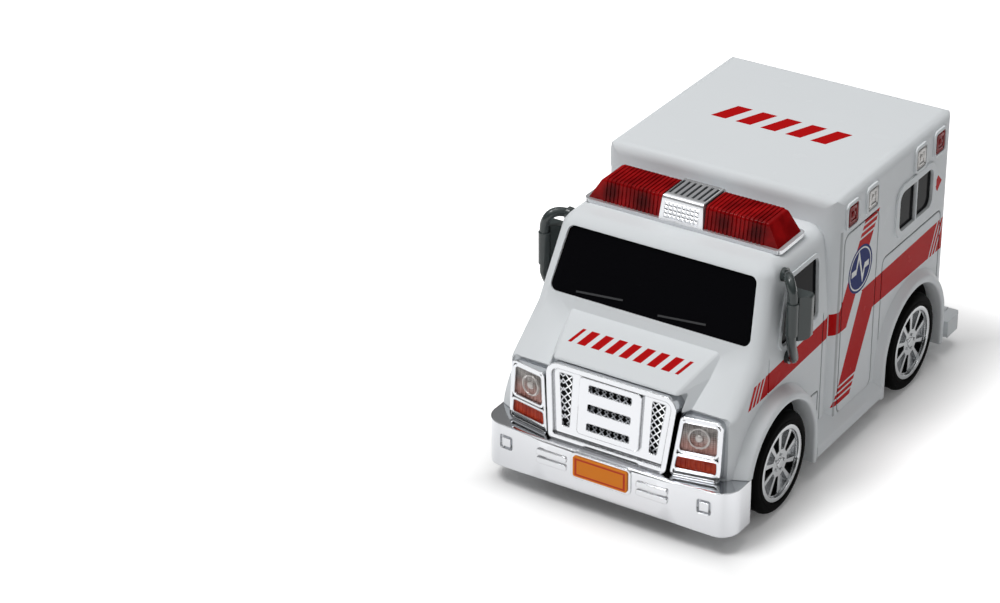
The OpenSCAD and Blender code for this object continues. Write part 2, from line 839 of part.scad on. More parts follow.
// Bumper
bumper_bow = 1.4;
bumper_return = 5.5;
bumper_flat_share = 0.44;
bumper_ends = nose_front + bumper_return;
bumper_flat_half = bumper_half * bumper_flat_share;
bumper_corner = 5.5;
bumper_edge = 2;
bumper_shelf = 1.8;
bumper_end_round = 1.1;
bumper_plan = [[-bumper_half, bumper_ends, bumper_end_round],
  [-bumper_half, bumper_front + bumper_bow, bumper_corner], [-bumper_flat_half, bumper_front, 0],
  [bumper_flat_half, bumper_front, 0], [bumper_half, bumper_front + bumper_bow, bumper_corner],
  [bumper_half, bumper_ends, bumper_end_round]];
cab_plan = box_pts(-cab_half, nose_front, cab_half, box_front, pillar_radius);
// Number plate and its frame on the bumper
plate_half = 7.6;
plate_rise = 5.6;
plate_height = 5.6;
plate_low = bumper_low + plate_rise;
plate_high = plate_low + plate_height;
plate_corner = 0.6;
plate_frame = 0.8;
plate_frame_rise = 0.4;
plate_thickness = 0.4;
plate_lift = 0.15;
// Louvres and square lamps on the bumper's face
louvre_gap = 2.2;
louvre_length = 8.6;
louvre_in = plate_half + louvre_gap;
louvre_out = louvre_in + louvre_length;
louvre_low = plate_low + plate_lift;
louvre_height = 1.6;
louvre_pitch = 2.25;
louvre_depth = 0.5;
square_margin = 5.1;
square_size = 3.8;
square_out = bumper_half - square_margin;
square_in = square_out - square_size;
square_low = plate_low + plate_lift;
square_high = square_low + square_size;
square_rim = 0.7;
plate_pts = box_pts(-plate_half, plate_low, plate_half, plate_high, plate_corner);
module front_bumper() {
  color("gainsboro")
    difference() {
      union() {
        intersection() {
          slab(bumper_low, bumper_top - bumper_low)
            shape(bumper_plan);
          along_x(-bumper_half, 2 * bumper_half)
            shape([[bumper_ends, bumper_low, 0], [bumper_ends, bumper_top, 0],
              [bumper_front, bumper_top, bumper_edge / 2], [bumper_front, bumper_low, bumper_edge]]);
        }
        along_y(bumper_front - plate_frame_rise, plate_frame_rise + bumper_wall / 2)
          shape(inset(plate_pts, -plate_frame));
        both_sides()
          for (i = [0, 1])
            along_y(bumper_front - louvre_depth + bumper_bow * louvre_share, bumper_wall)
              shape(box_pts(louvre_in, louvre_low + i * louvre_pitch, louvre_out,
                louvre_low + i * louvre_pitch + louvre_height, louvre_height / 3));
      }
      // Hollow behind the face, below the ledge
      slab(bumper_low - over, bumper_top - bumper_low - bumper_shelf + over)
        shape(inset(bumper_plan, bumper_wall));
      // Nose of the shell
      slab(bumper_low - over, bumper_top - bumper_low + 2 * over)
        shape(inset(cab_plan, -seat_gap));
      // Square lamps
      both_sides()
        along_y(bumper_front - over, over + bumper_bow + louvre_depth)
          band(box_pts(square_in, square_low, square_out, square_high, square_rim), square_rim);
    }
}
louvre_share = 0.1;
module number_plate() {
  color("orange")
    along_y(bumper_front - plate_frame_rise - plate_thickness, plate_thickness)
      shape(plate_pts);
}

// Grille, drawn on its leaning plane
grille_reach = 3.8;
grille_taper = 2;
grille_foot = nose_front - grille_reach;
grille_foot_half = grille_half - grille_taper;
grille_corner = 3.2;
grille_foot_corner = 1.6;
grille_rim = 1.4;
grille_rim_rise = 0.9;
grille_plate = 1.6;
grille_wall = 1.5;
// Panel, slots and slits as shares of the grille's half width and height
panel_half_share = 0.467;
panel_low_share = 0.17;
panel_high_share = 0.92;
panel_height = 0.9;
panel_corner = 1;
slot_half_share = 0.326;
slot_share = 0.38;
slot_round = 0.4;
slit_in_share = 0.603;
slit_top_share = 0.81;
slit_foot_share = 0.717;
slit_low_share = 0.19;
slit_high_share = 0.866;
panel_half = grille_half * panel_half_share;
panel_low = grille_height * panel_low_share;
panel_high = grille_height * panel_high_share;
slot_half = grille_half * slot_half_share;
slit_in = grille_half * slit_in_share;
slit_top_out = grille_half * slit_top_share;
slit_foot_out = grille_half * slit_foot_share;
slit_low = grille_height * slit_low_share;
slit_high = grille_height * slit_high_share;
grille_pts = [[-grille_foot_half, 0, grille_foot_corner], [grille_foot_half, 0, grille_foot_corner],
  [grille_half, grille_height, grille_corner], [-grille_half, grille_height, grille_corner]];
slit_pts = [[slit_in, slit_low, slot_round], [slit_foot_out, slit_low, slot_round],
  [slit_top_out, slit_high, slot_round], [slit_in, slit_high, slot_round]];
slot_pitch = (panel_high - panel_low) / grille_slots;
slot_height = slot_pitch * slot_share;
function slot_pts(i) = let (c = panel_low + (2 * i + 1) * slot_pitch / 2)
  box_pts(-slot_half, c - slot_height / 2, slot_half, c + slot_height / 2, slot_round);
module on_grille() {
  translate([0, grille_foot, bumper_top])
    rotate([90 - grille_lean, 0, 0])
      children();
}
// Room behind the chrome front that the shell takes
module nose_block() {
  translate([-box_half, nose_seat, 0])
    cube([box_width, box_length, roof_height]);
  translate([-box_half, nose_front - box_length, bumper_top - box_length])
    cube([box_width, 2 * box_length, box_length]);
}
module grille() {
  depth = nose_seat - grille_foot + wall;
  color("gainsboro")
    difference() {
      on_grille()
        difference() {
          union() {
            slab(-depth, depth)
              shape(grille_pts);
            linear_extrude(grille_rim_rise)
              band(grille_pts, grille_rim);
            linear_extrude(panel_height)
              shape(box_pts(-panel_half, panel_low, panel_half, panel_high, panel_corner));
          }
          slab(-depth - over, depth + over - grille_plate)
            shape(inset(grille_pts, grille_wall));
          slab(-grille_plate - over, grille_plate + panel_height + 2 * over) {
            for (i = [0 : grille_slots - 1])
              shape(slot_pts(i));
            shape(slit_pts);
            shape(flip(slit_pts));
          }
        }
      nose_block();
    }
}
// Diamond net on a thin backing behind the slots
mesh_backing = 0.5;
mesh_height = 0.4;
mesh_pitch = 2;
mesh_wire = 0.45;
mesh_margin = 2.6;
mesh_columns = floor(2 * (grille_foot_half - mesh_margin) / mesh_pitch);
mesh_rows = floor(2 * (grille_height - 2 * mesh_margin) / mesh_pitch);
function diamond(c, r) = [c + [r, 0], c + [0, r], c - [r, 0], c - [0, r]];
module grille_mesh() {
  outline = rounded(inset(grille_pts, grille_wall + seat_gap));
  holes = [for (j = [0 : mesh_rows - 1], i = [0 : mesh_columns - j % 2 - 1])
    diamond([(i - (mesh_columns - 1 - j % 2) / 2) * mesh_pitch,
      grille_height / 2 + (j - (mesh_rows - 1) / 2) * mesh_pitch / 2],
      (mesh_pitch - mesh_wire * sqrt(2)) / 2)];
  n = len(outline);
  color("dimgray")
    on_grille()
      translate([0, 0, -grille_plate - mesh_backing - mesh_height]) {
        linear_extrude(mesh_backing)
          polygon(outline);
        linear_extrude(mesh_backing + mesh_height)
          polygon(concat(outline, [for (h = holes) each h]), concat([[for (i = [0 : n - 1]) i]],
            [for (k = [0 : len(holes) - 1]) [for (i = [0 : 3]) n + 4 * k + i]]));
      }
}

// Headlamps, drawn on a plane that sweeps and leans back
bezel_spread = 13.5;
bezel_setback = 0.2;
bezel_sweep = 11;
bezel_lean = 4.5;
bezel_foot_in = 0.5;
bezel_foot_out = 13.1;
bezel_top_in = 2.7;
bezel_top_out = 13.4;
bezel_gap = 0.3;
bezel_in_corner = 1.1;
bezel_out_corner = 1.6;
bezel_rim = 0.7;
bezel_rim_height = 0.5;
bezel_height = wing_height - bumper_top - bezel_gap;
bezel_place = [seat_half - bezel_spread, grille_foot + bezel_setback];
bezel_pts = [[bezel_foot_in, 0, bezel_in_corner], [bezel_foot_out, 0, bezel_out_corner],
  [bezel_top_out, bezel_height, bezel_out_corner], [bezel_top_in, bezel_height, bezel_in_corner]];
// Headlamp and indicator windows, their heights as shares of the bezel's
headlamp_in = 2.6;
headlamp_top_in = 3.4;
headlamp_out = 12;
headlamp_low_share = 0.44;
headlamp_high_share = 0.912;
headlamp_corner = 0.9;
indicator_in = 1.7;
indicator_top_in = 2.2;
indicator_out = 12.1;
indicator_low_share = 0.138;
indicator_high_share = 0.34;
indicator_corner = 0.6;
function lamp_pts(foot_in, top_in, out, low, high, r) =
  [[foot_in, low, r], [out, low, r], [out, high, r], [top_in, high, r]];
headlamp_pts = lamp_pts(headlamp_in, headlamp_top_in, headlamp_out, bezel_height * headlamp_low_share,
  bezel_height * headlamp_high_share, headlamp_corner);
indicator_pts = lamp_pts(indicator_in, indicator_top_in, indicator_out, bezel_height * indicator_low_share,
  bezel_height * indicator_high_share, indicator_corner);
lamp_pocket_sink = 1.6;
lamp_sink = 0.15;
module on_bezel() {
  translate([bezel_place[0], bezel_place[1], bumper_top])
    rotate([0, 0, bezel_sweep])
      rotate([90 - bezel_lean, 0, 0])
        children();
}
module headlamp_bezel() {
  depth = nose_seat - grille_foot + 2 * wall;
  color("gainsboro")
    difference() {
      on_bezel()
        difference() {
          union() {
            slab(-depth, depth)
              shape(bezel_pts);
            linear_extrude(bezel_rim_height) {
              band(bezel_pts, bezel_rim);
              band(inset(headlamp_pts, -bezel_rim), bezel_rim);
              band(inset(indicator_pts, -bezel_rim), bezel_rim);
            }
          }
          slab(-lamp_pocket_sink, lamp_pocket_sink + over) {
            shape(headlamp_pts);
            shape(indicator_pts);
          }
        }
      nose_block();
      // Clear of the grille's flank and of the seat's outer edge
      on_grille()
        slab(-depth, 2 * depth)
          shape(inset([[-grille_foot_half, -depth, 0], [grille_foot_half, -depth, 0],
            [grille_foot_half, 0, 0], [grille_half, grille_height, 0],
            [-grille_half, grille_height, 0], [-grille_foot_half, 0, 0]], -seat_gap));
      translate([seat_half - seat_gap, nose_front - box_length, 0])
        cube([box_half, 2 * box_length, roof_height]);
      translate([0, nose_front - box_length, wing_height - seat_gap])
        cube([box_half, 2 * box_length, roof_height]);
    }
}
module lamp_lens(pts) {
  on_bezel()
    slab(-lamp_pocket_sink, lamp_pocket_sink - lamp_sink)
      shape(inset(pts, seat_gap));
}
module headlamp_bezel_left() headlamp_bezel();
module headlamp_bezel_right() on_side(-1) headlamp_bezel();
module headlamp_lens_left() color("whitesmoke") lamp_lens(headlamp_pts);
module headlamp_lens_right() color("whitesmoke") on_side(-1) lamp_lens(headlamp_pts);
module indicator_lens_left() color("orangered") lamp_lens(indicator_pts);
module indicator_lens_right() color("orangered") on_side(-1) lamp_lens(indicator_pts);

// Glazing of the cab: three panes on one inner tray, with two moulded wipers
tray_plate = 1.2;
tray_drop = 6.4;
tray_margin = 2;
tray_rear_gap = 7.7;
tray_height = cab_roof - tray_drop;
tray_rear = box_front - tray_rear_gap;
tray_front = screen_at(tray_height) + tray_margin;
tray_half = screen_high_half - tray_margin;
wiper_width = 0.5;
wiper_height = 0.25;
wiper_length = 13;
wiper_tilt = 5;
wiper_offset = 9;
wiper_spread = 11.5;
wiper_places = [-wiper_offset - wiper_spread, -wiper_offset + wiper_spread];
module cab_glazing() {
  color([0.03, 0.03, 0.035]) {
    on_screen() {
      slab(-wall, wall - glass_depth)
        shape(inset(windscreen, seat_gap));
      for (x = wiper_places)
        translate([x, screen_low + 2 * wiper_width, -wall])
          rotate(wiper_tilt)
            cube([wiper_length, wiper_width, wall - glass_depth + wiper_height]);
    }
    both_sides()
      on_cab_side()
        slab(-wall, wall - glass_depth)
          shape(inset(cab_window, seat_gap));
    translate([-tray_half, tray_front, tray_height - tray_plate])
      cube([2 * tray_half, tray_rear - tray_front, tray_plate]);
    tray_side = cab_half_at(tray_height) - wall;
    translate([-tray_side, screen_at(tray_height) + pillar_width + wall, tray_height - tray_plate])
      cube([2 * tray_side, tray_rear - screen_at(tray_height) - pillar_width - wall, tray_plate]);
  }
}
module side_box_window() {
  middle = (side_window[0][0] + side_window[1][0]) / 2;
  inner = box_half - wall;
  color([0.05, 0.05, 0.06])
    difference() {
      along_x(inner, wall - glass_depth)
        shape(inset(side_window, seat_gap));
      along_x(inner - over, wall + over)
        translate([middle - mullion / 2 - seat_gap, 0])
          square([mullion + 2 * seat_gap, roof_height]);
    }
}
module rear_door_window_left() {
  color([0.05, 0.05, 0.06])
    along_y(box_rear - wall, wall - glass_depth)
      shape(inset(rear_window, seat_gap));
}
module rear_door_window_right() on_side(-1) rear_door_window_left();

// Box lamps
module rear_lenses(places) {
  for (p = places)
    at_rear_lamp(p)
      translate([0, 0, -pocket_depth])
        jewel();
}
module side_lenses(places) {
  both_sides()
    for (y = places)
      at_side_lamp(y)
        translate([0, 0, -pocket_depth])
          jewel();
}
module rear_red_lenses() color("darkred") rear_lenses(rear_red_places);
module rear_amber_lenses() color("orangered") rear_lenses(rear_amber_places);
module rear_clear_lenses() color("whitesmoke") rear_lenses(rear_clear_places);
module side_red_lenses() color("darkred") side_lenses(side_red_places);
module side_clear_lenses() color("whitesmoke") side_lenses(side_clear_places);

// Lamp bar
bar_gap = 6;
bar_rear = box_front - bar_gap;
bar_front = bar_rear - bar_depth;
bar_half = cab_half - bar_inset;
bar_base = 1;
bar_corner = 1.6;
bar_margin = 0.8;
bar_lean = 1;
bar_end_slope = 3.4;
bar_edge = 1.1;
rib_depth = 0.25;
rib_share = 0.55;
block_half = 5.6;
block_flare = 0.5;
block_proud = 0.6;
block_rise = 0.4;
louvres = 7;
louvre_groove = 0.7;
louvre_groove_share = 0.45;
bar_foot = cab_roof + bar_base;
module light_bar_base() {
  color("silver")
    slab(cab_roof, bar_base)
      shape(box_pts(-bar_half, bar_front, bar_half, bar_rear, bar_corner));
}
lens_section = [[bar_front + bar_margin, bar_foot, 0], [bar_rear - bar_margin, bar_foot, 0],
  [bar_rear - bar_margin - bar_lean, bar_foot + bar_height, bar_edge],
  [bar_front + bar_margin + bar_lean, bar_foot + bar_height, bar_edge]];
lens_in = block_half + block_flare + seat_gap;
lens_out = bar_half - bar_margin;
module bar_lens_form(d) {
  intersection() {
    along_x(lens_in, lens_out - lens_in)
      shape(inset_top(lens_section, d));
    along_y(bar_front, bar_rear - bar_front)
      shape([[lens_in, bar_foot, 0], [lens_out - d, bar_foot, 0],
        [lens_out - bar_end_slope - d, bar_foot + bar_height - d, bar_edge],
        [lens_in, bar_foot + bar_height - d, 0]]);
  }
}
// A section moved in by d at its sides and top but not at its foot
function inset_top(pts, d) = [for (p = inset(pts, d))
  [p[0], p[1] < bar_foot + bar_height / 2 ? bar_foot : p[1], p[2]]];
module light_bar_lens() {
  color("darkred") {
    bar_lens_form(rib_depth);
    intersection() {
      bar_lens_form(0);
      for (x = [lens_in : rib_pitch : lens_out - bar_end_slope - bar_edge])
        translate([x, bar_front, bar_foot])
          cube([rib_pitch * rib_share, bar_rear - bar_front, bar_height]);
    }
  }
}
module light_bar_lens_left() light_bar_lens();
module light_bar_lens_right() on_side(-1) light_bar_lens();
module light_bar_centre() {
  top = bar_foot + bar_height + block_rise;
  pitch = 2 * block_half / louvres;
  color("silver")
    difference() {
      intersection() {
        along_x(-block_half - block_flare, 2 * (block_half + block_flare))
          shape([[bar_front + bar_margin - block_proud, bar_foot, 0],
            [bar_rear - bar_margin + block_proud, bar_foot, 0],
            [bar_rear - bar_margin - bar_lean + block_proud, top, bar_edge],
            [bar_front + bar_margin + bar_lean - block_proud, top, bar_edge]]);
        along_y(bar_front - over, bar_rear - bar_front + 2 * over)
          shape([[-block_half - block_flare, bar_foot, 0], [block_half + block_flare, bar_foot, 0],
            [block_half, top, block_flare], [-block_half, top, block_flare]]);
      }
      for (i = [0 : louvres - 1])
        translate([-block_half + (i + (1 - louvre_groove_share) / 2) * pitch,
          bar_front + bar_margin + bar_lean + bar_edge, top - louvre_groove])
          cube([pitch * louvre_groove_share,
            bar_rear - bar_front - 2 * (bar_margin + bar_lean + bar_edge), louvre_groove + over]);
    }
}

// Mirrors: a bent tube between two flanges, with a sleeve and a housing
mirror_tube = 1.2;
mirror_sides = 12;
mirror_steps = 8;
mirror_stand_out = 3.2;
mirror_setback = 10.2;
mirror_x = cab_half + mirror_stand_out;
mirror_y = screen_base + mirror_setback;
// Heads and feet of the arms on the cab, with their flanges
arm_head_rise = 1;
arm_head_setback = 14.6;
arm_foot_drop = 3.1;
arm_foot_setback = 14.6;
arm_bow = 2.6;
arm_stub = 1.3;
flange_radius = 1.75;
flange_height = 1;
head_z = roof_start + arm_head_rise;
foot_z = belt_line - arm_foot_drop;
// Sleeve and housing, measured from the belt line and the tube
mirror_low_bend = 3.2;
mirror_high_bend = 16.2;
sleeve_radius = 1.5;
sleeve_low = 5.6;
sleeve_high = 14.2;
housing_low = 3.9;
housing_high = 15.6;
housing_out = 3.3;
housing_in = 3.3;
housing_back = 5.1;
housing_side = 1.8;
housing_front = 0.9;
housing_neck = 1.3;
housing_corner = 0.7;
housing_edge = 1.1;
glass_margin = 0.8;
glass_sink = 0.3;
// The arm leaves the cab square to its sides
mirror_head = [cab_half_at(head_z), screen_base + arm_head_setback, head_z];
mirror_foot = [cab_half, screen_base + arm_foot_setback, foot_z];
head_out = [cos(tumblehome), 0, sin(tumblehome)];
mirror_path = concat(
  [mirror_head + flange_height / 2 * head_out], curve(mirror_head + arm_stub * head_out,
    [mirror_x - arm_stub, mirror_y, head_z + arm_bow],
    [mirror_x, mirror_y, belt_line + mirror_high_bend], mirror_steps),
  curve([mirror_x, mirror_y, belt_line + mirror_low_bend], [mirror_x, mirror_y + arm_bow, foot_z],
    mirror_foot + [arm_stub, 0, 0], mirror_steps), [mirror_foot + [flange_height / 2, 0, 0]]);
// Plan of the housing, drawn back in to a neck at the sleeve
housing_plan = [[mirror_x - housing_in, mirror_y + housing_back, housing_corner],
  [mirror_x - housing_in, mirror_y + housing_back - housing_side, housing_corner],
  [mirror_x - housing_neck, mirror_y + housing_front, 0],
  [mirror_x + housing_neck, mirror_y + housing_front, 0],
  [mirror_x + housing_out, mirror_y + housing_back - housing_side, housing_corner],
  [mirror_x + housing_out, mirror_y + housing_back, housing_corner]];
function housing_face(d) = box_pts(mirror_x - housing_in + d, belt_line + housing_low + d,
  mirror_x + housing_out - d, belt_line + housing_high - d, housing_edge);
// Points of a ring round a path, and a tube along the path
function path_dir(path, i) = let (a = path[max(i - 1, 0)], b = path[min(i + 1, len(path) - 1)])
  (b - a) / norm(b - a);
function ring(path, i, r, n) =
  let (t = path_dir(path, i), c = cross(t, [0, 1, 0]), u = c / norm(c), v = cross(t, u))
  [for (k = [0 : n - 1]) path[i] + r * (u * cos(360 * k / n) + v * sin(360 * k / n))];
module tube(path, r, n) {
  m = len(path);
  polyhedron(
    points = [for (i = [0 : m - 1]) each ring(path, i, r, n)], faces = concat(
      [[for (k = [0 : n - 1]) k]], [for (i = [0 : m - 2], k = [0 : n - 1]) each [
        [(i + 1) * n + (k + 1) % n, i * n + (k + 1) % n, i * n + k],
        [(i + 1) * n + k, (i + 1) * n + (k + 1) % n, i * n + k]]],
      [[for (k = [0 : n - 1]) m * n - 1 - k]]));
}
module mirror_piece() {
  color("slategray") {
    tube(mirror_path, mirror_tube, mirror_sides);
    translate(mirror_head + seat_gap * head_out)
      rotate([0, 90 - tumblehome, 0])
        cylinder(h = flange_height, r = flange_radius);
    translate(mirror_foot + [seat_gap, 0, 0])
      rotate([0, 90, 0])
        cylinder(h = flange_height, r = flange_radius);
    translate([mirror_x, mirror_y, belt_line + sleeve_low])
      cylinder(h = sleeve_high - sleeve_low, r = sleeve_radius);
    difference() {
      intersection() {
        slab(belt_line + housing_low, housing_high - housing_low)
          shape(housing_plan);
        along_y(mirror_y, housing_back)
          shape(housing_face(0));
      }
      along_y(mirror_y + housing_back - glass_sink, over)
        shape(housing_face(glass_margin));
    }
  }
}
module mirror_left() mirror_piece();
module mirror_right() on_side(-1) mirror_piece();

// Axles and wheels, drawn with the wheel's back at zero and its face outward along Z
axle_sink = 1.6;
lip_height = 0.45;
lip_radius = rim_radius + lip_height;
lip_width = 0.8;
lip_round = 0.3;
shoulder = 1.9;
bead_round = 0.5;
barrel_wall = 0.8;
disc_width = 2.2;
disc_sink = 0.7;
hub_radius = 2.7;
hub_back = 0.6;
cap_radius = 1.35;
cap_height = 0.35;
lug_radius = 0.42;
lug_circle = 2;
lug_height = 0.3;
gap_inner = 3.5;
gap_inner_half = 0.65;
gap_outer_half = 1.8;
pocket_inner_half = 0.75;
pocket_outer_half = 2.2;
spoke_pocket = 0.8;
spoke_round = 0.35;
module axle(rear) {
  color("silver")
    translate([-wheel_face + axle_sink, axle_y(rear), axle_height])
      rotate([0, 90, 0])
        cylinder(h = 2 * (wheel_face - axle_sink), r = axle_radius);
}
module front_axle() axle(false);
module rear_axle() axle(true);
module at_wheel(side, rear) {
  on_side(side)
    translate([wheel_back, axle_y(rear), axle_height])
      rotate([90, 0, 90])
        children();
}
module tyre() {
  color([0.05, 0.05, 0.05])
    rotate_extrude()
      shape([[rim_radius + seat_gap, 0, bead_round], [tyre_radius, 0, shoulder],
        [tyre_radius, tyre_width, shoulder], [lip_radius + seat_gap, tyre_width, bead_round],
        [lip_radius + seat_gap, tyre_width - lip_width - seat_gap, 0],
        [rim_radius + seat_gap, tyre_width - lip_width - seat_gap, 0]]);
}
// Outline of a gap or pocket that widens from the hub to the rim
function ray(from, to, half_from, half_to) = [[from, -half_from, spoke_round], [to, -half_to, spoke_round],
  [to, half_to, spoke_round], [from, half_from, spoke_round]];
module rim() {
  disc_face = tyre_width - disc_sink;
  disc_back = disc_face - disc_width;
  reach = rim_radius - barrel_wall;
  bore_end = tyre_width - axle_sink;
  color("gainsboro") {
    difference() {
      // Barrel, lip, disc, hub, cap and bore in one turned section
      rotate_extrude()
        shape([[0, bore_end, 0], [axle_radius, bore_end, 0], [axle_radius, hub_back, 0],
          [hub_radius, hub_back, 0], [hub_radius, disc_back, 0], [reach, disc_back, 0],
          [reach, 0, 0], [rim_radius, 0, 0], [rim_radius, tyre_width - lip_width, 0],
          [lip_radius, tyre_width - lip_width, 0], [lip_radius, tyre_width, lip_round],
          [reach, tyre_width, lip_round], [reach, disc_face, 0], [cap_radius, disc_face, 0],
          [cap_radius, disc_face + cap_height, lip_round], [0, disc_face + cap_height, 0]]);
      for (i = [0 : spokes - 1])
        rotate(360 * (i + 0.5) / spokes)
          slab(disc_back - over, disc_width + 2 * over)
            shape(ray(gap_inner, reach - spoke_round, gap_inner_half, gap_outer_half));
      for (i = [0 : spokes - 1])
        rotate(360 * i / spokes)
          slab(disc_face - spoke_pocket, spoke_pocket + over)
            shape(ray(gap_inner, reach - spoke_round, pocket_inner_half, pocket_outer_half));
    }
    for (i = [0 : spokes - 1])
      rotate(360 * i / spokes)
        translate([lug_circle, 0, disc_face - lug_height])
          cylinder(h = 2 * lug_height, r = lug_radius, $fn = 6);
  }
}
module tyre_front_left() at_wheel(1, false) tyre();
module tyre_front_right() at_wheel(-1, false) tyre();
module tyre_rear_left() at_wheel(1, true) tyre();
module tyre_rear_right() at_wheel(-1, true) tyre();
module rim_front_left() at_wheel(1, false) rim();
module rim_front_right() at_wheel(-1, false) rim();
module rim_rear_left() at_wheel(1, true) rim();
module rim_rear_right() at_wheel(-1, true) rim();

// Pull-back motor: involute gears on three shafts in a two-part case
pressure_angle = 20;
addendum_share = 0.75;
dedendum_share = 1.05;
backlash = 0.12;
flank_steps = 5;
gear_width = 2;
idler_direction = 135;
barrel_direction = 190;
arbor_radius = 0.8;
barrel_pin = 1.2;
motor_gap = 0.6;
case_wall = 1.1;
case_half = 8.6;
idler_wheel_x = -3.2;
pinion_lap = 0.4;
barrel_gear_x = 0.8;
drum_radius = 8.8;
drum_wall = 0.9;
drum_depth = 3.6;
drum_cap = 0.8;
drum_hub = 2.4;
spring_turns = 5;
spring_gauge = 0.3;
spring_width = 2.4;
function pitch_radius(n) = gear_module * n / 2;
function tip_radius(n) = pitch_radius(n) + addendum_share * gear_module;
function inv(a) = tan(a) * 180 / PI - a;
// Half angle of a tooth at radius r
function tooth_half(n, r) =
  let (p = pitch_radius(n), b = p * cos(pressure_angle))
  90 / n - backlash / p / 2 * 90 / PI + inv(pressure_angle) - inv(acos(min(1, b / r)));
// Radii along a flank from root to tip
function flank(n) =
  let (b = pitch_radius(n) * cos(pressure_angle), root = pitch_radius(n) - dedendum_share * gear_module,
    low = max(b, root), top = tip_radius(n))
  [for (i = [0 : flank_steps]) low + (top - low) * i / flank_steps];
function gear_pts(n) =
  let (f = flank(n), root = pitch_radius(n) - dedendum_share * gear_module)
  [for (k = [0 : n - 1])
    let (a = 360 * k / n)
    each concat(
      [root * [cos(a - tooth_half(n, f[0])), sin(a - tooth_half(n, f[0]))]],
      [for (r = f) r * [cos(a - tooth_half(n, r)), sin(a - tooth_half(n, r))]],
      [for (i = [flank_steps : -1 : 0]) let (r = f[i])
        r * [cos(a + tooth_half(n, r)), sin(a + tooth_half(n, r))]],
      [root * [cos(a + tooth_half(n, f[0])), sin(a + tooth_half(n, f[0]))]])];
// Turn of a gear of m teeth that meshes in direction d with n teeth turned by a
function mesh_turn(n, a, m, d) = let (part = (d - a) * n / 360) d + 180 - (0.5 - part) * 360 / m;
idler_distance = pitch_radius(axle_teeth) + pitch_radius(idler_teeth);
barrel_distance = pitch_radius(pinion_teeth) + pitch_radius(barrel_teeth);
axle_at = [rear_axle_y, axle_height];
idler_at = axle_at + idler_distance * [cos(idler_direction), sin(idler_direction)];
barrel_at = idler_at + barrel_distance * [cos(barrel_direction), sin(barrel_direction)];
idler_turn = mesh_turn(axle_teeth, 0, idler_teeth, idler_direction);
barrel_turn = mesh_turn(pinion_teeth, 0, barrel_teeth, barrel_direction);
drum_place = barrel_gear_x + gear_width;
case_top = max(idler_at[1] + tip_radius(idler_teeth), barrel_at[1] + tip_radius(barrel_teeth))
  + motor_gap + case_wall;
case_front = barrel_at[0] - tip_radius(barrel_teeth) - motor_gap - case_wall;
case_rear = axle_at[0] + tip_radius(axle_teeth) + motor_gap + case_wall;
function case_pts(bottom) = [[case_front, bottom, 0], [case_rear, bottom, 0],
  [case_rear, axle_height + 2 * tip_radius(axle_teeth), drum_hub],
  [idler_at[0] + tip_radius(idler_teeth) + motor_gap + case_wall, case_top, drum_hub],
  [case_front, case_top, drum_radius / 2]];
motor_holes = [[case_half / 2, case_front - head_radius - motor_gap],
  [-case_half / 2, case_front - head_radius - motor_gap]];
foot_height = 1.8;
foot_length = 2 * (head_radius + motor_gap);
module at_shaft(p, x) translate([x, p[0], p[1]]) rotate([90, 0, 90]) children();
module gear(n, width) linear_extrude(width) polygon(gear_pts(n));
module motor_case_half() {
  difference() {
    union() {
      along_x(0, case_half)
        shape(case_pts(chassis_top));
      translate([0, case_front - foot_length, chassis_top])
        cube([case_half, foot_length + case_wall, foot_height]);
    }
    along_x(-over, case_half - case_wall + over)
      shape(inset(case_pts(chassis_top - case_wall - over), case_wall));
    at_shaft(axle_at, -over)
      cylinder(h = case_half + 2 * over, r = axle_radius + running_fit);
    at_shaft(idler_at, -over)
      cylinder(h = case_half + 2 * over, r = arbor_radius + running_fit);
    at_shaft(barrel_at, -over)
      cylinder(h = case_half + 2 * over, r = barrel_pin);
    translate([motor_holes[0][0], motor_holes[0][1], chassis_top - over])
      cylinder(h = foot_height + 2 * over, r = screw_bore);
  }
}
module motor_case_left() color("darkslategray") motor_case_half();
module motor_case_right() color("darkslategray") on_side(-1) motor_case_half();
module motor_screws() {
  color("silver")
    for (p = motor_holes)
      translate([p[0], p[1], chassis_low])
        screw(chassis_plate + foot_height);
}
module axle_gear() {
  color("ivory")
    at_shaft(axle_at, idler_wheel_x - pinion_lap)
      difference() {
        gear(axle_teeth, gear_width + 2 * pinion_lap);
        translate([0, 0, -over])
          cylinder(h = gear_width + 2 * over + 2 * pinion_lap, r = axle_radius);
      }
}
module idler_gear() {
  color("ivory") {
    at_shaft(idler_at, idler_wheel_x)
      rotate(idler_turn)
        gear(idler_teeth, gear_width);
    at_shaft(idler_at, idler_wheel_x)
      gear(pinion_teeth, barrel_gear_x + gear_width + pinion_lap - idler_wheel_x);
    at_shaft(idler_at, -case_half)
      cylinder(h = 2 * case_half, r = arbor_radius);
  }
}
module spring_barrel() {
  color("ivory")
    difference() {
      union() {
        at_shaft(barrel_at, barrel_gear_x)
          rotate(barrel_turn)
            gear(barrel_teeth, gear_width);
        at_shaft(barrel_at, drum_place)
          difference() {
            cylinder(h = drum_depth, r = drum_radius);
            translate([0, 0, slice])
              cylinder(h = drum_depth + over, r = drum_radius - drum_wall);
          }
        at_shaft(barrel_at, barrel_gear_x)
          cylinder(h = gear_width + drum_depth, r = drum_hub);
      }
      at_shaft(barrel_at, barrel_gear_x - over)
        cylinder(h = gear_width + drum_depth + 2 * over, r = barrel_pin + running_fit);
    }
}
module barrel_cap() {
  color("silver")
    at_shaft(barrel_at, drum_place + drum_depth)
      difference() {
        cylinder(h = drum_cap, r = drum_radius);
        translate([0, 0, -over])
          cylinder(h = drum_cap + 2 * over, r = drum_hub);
      }
}
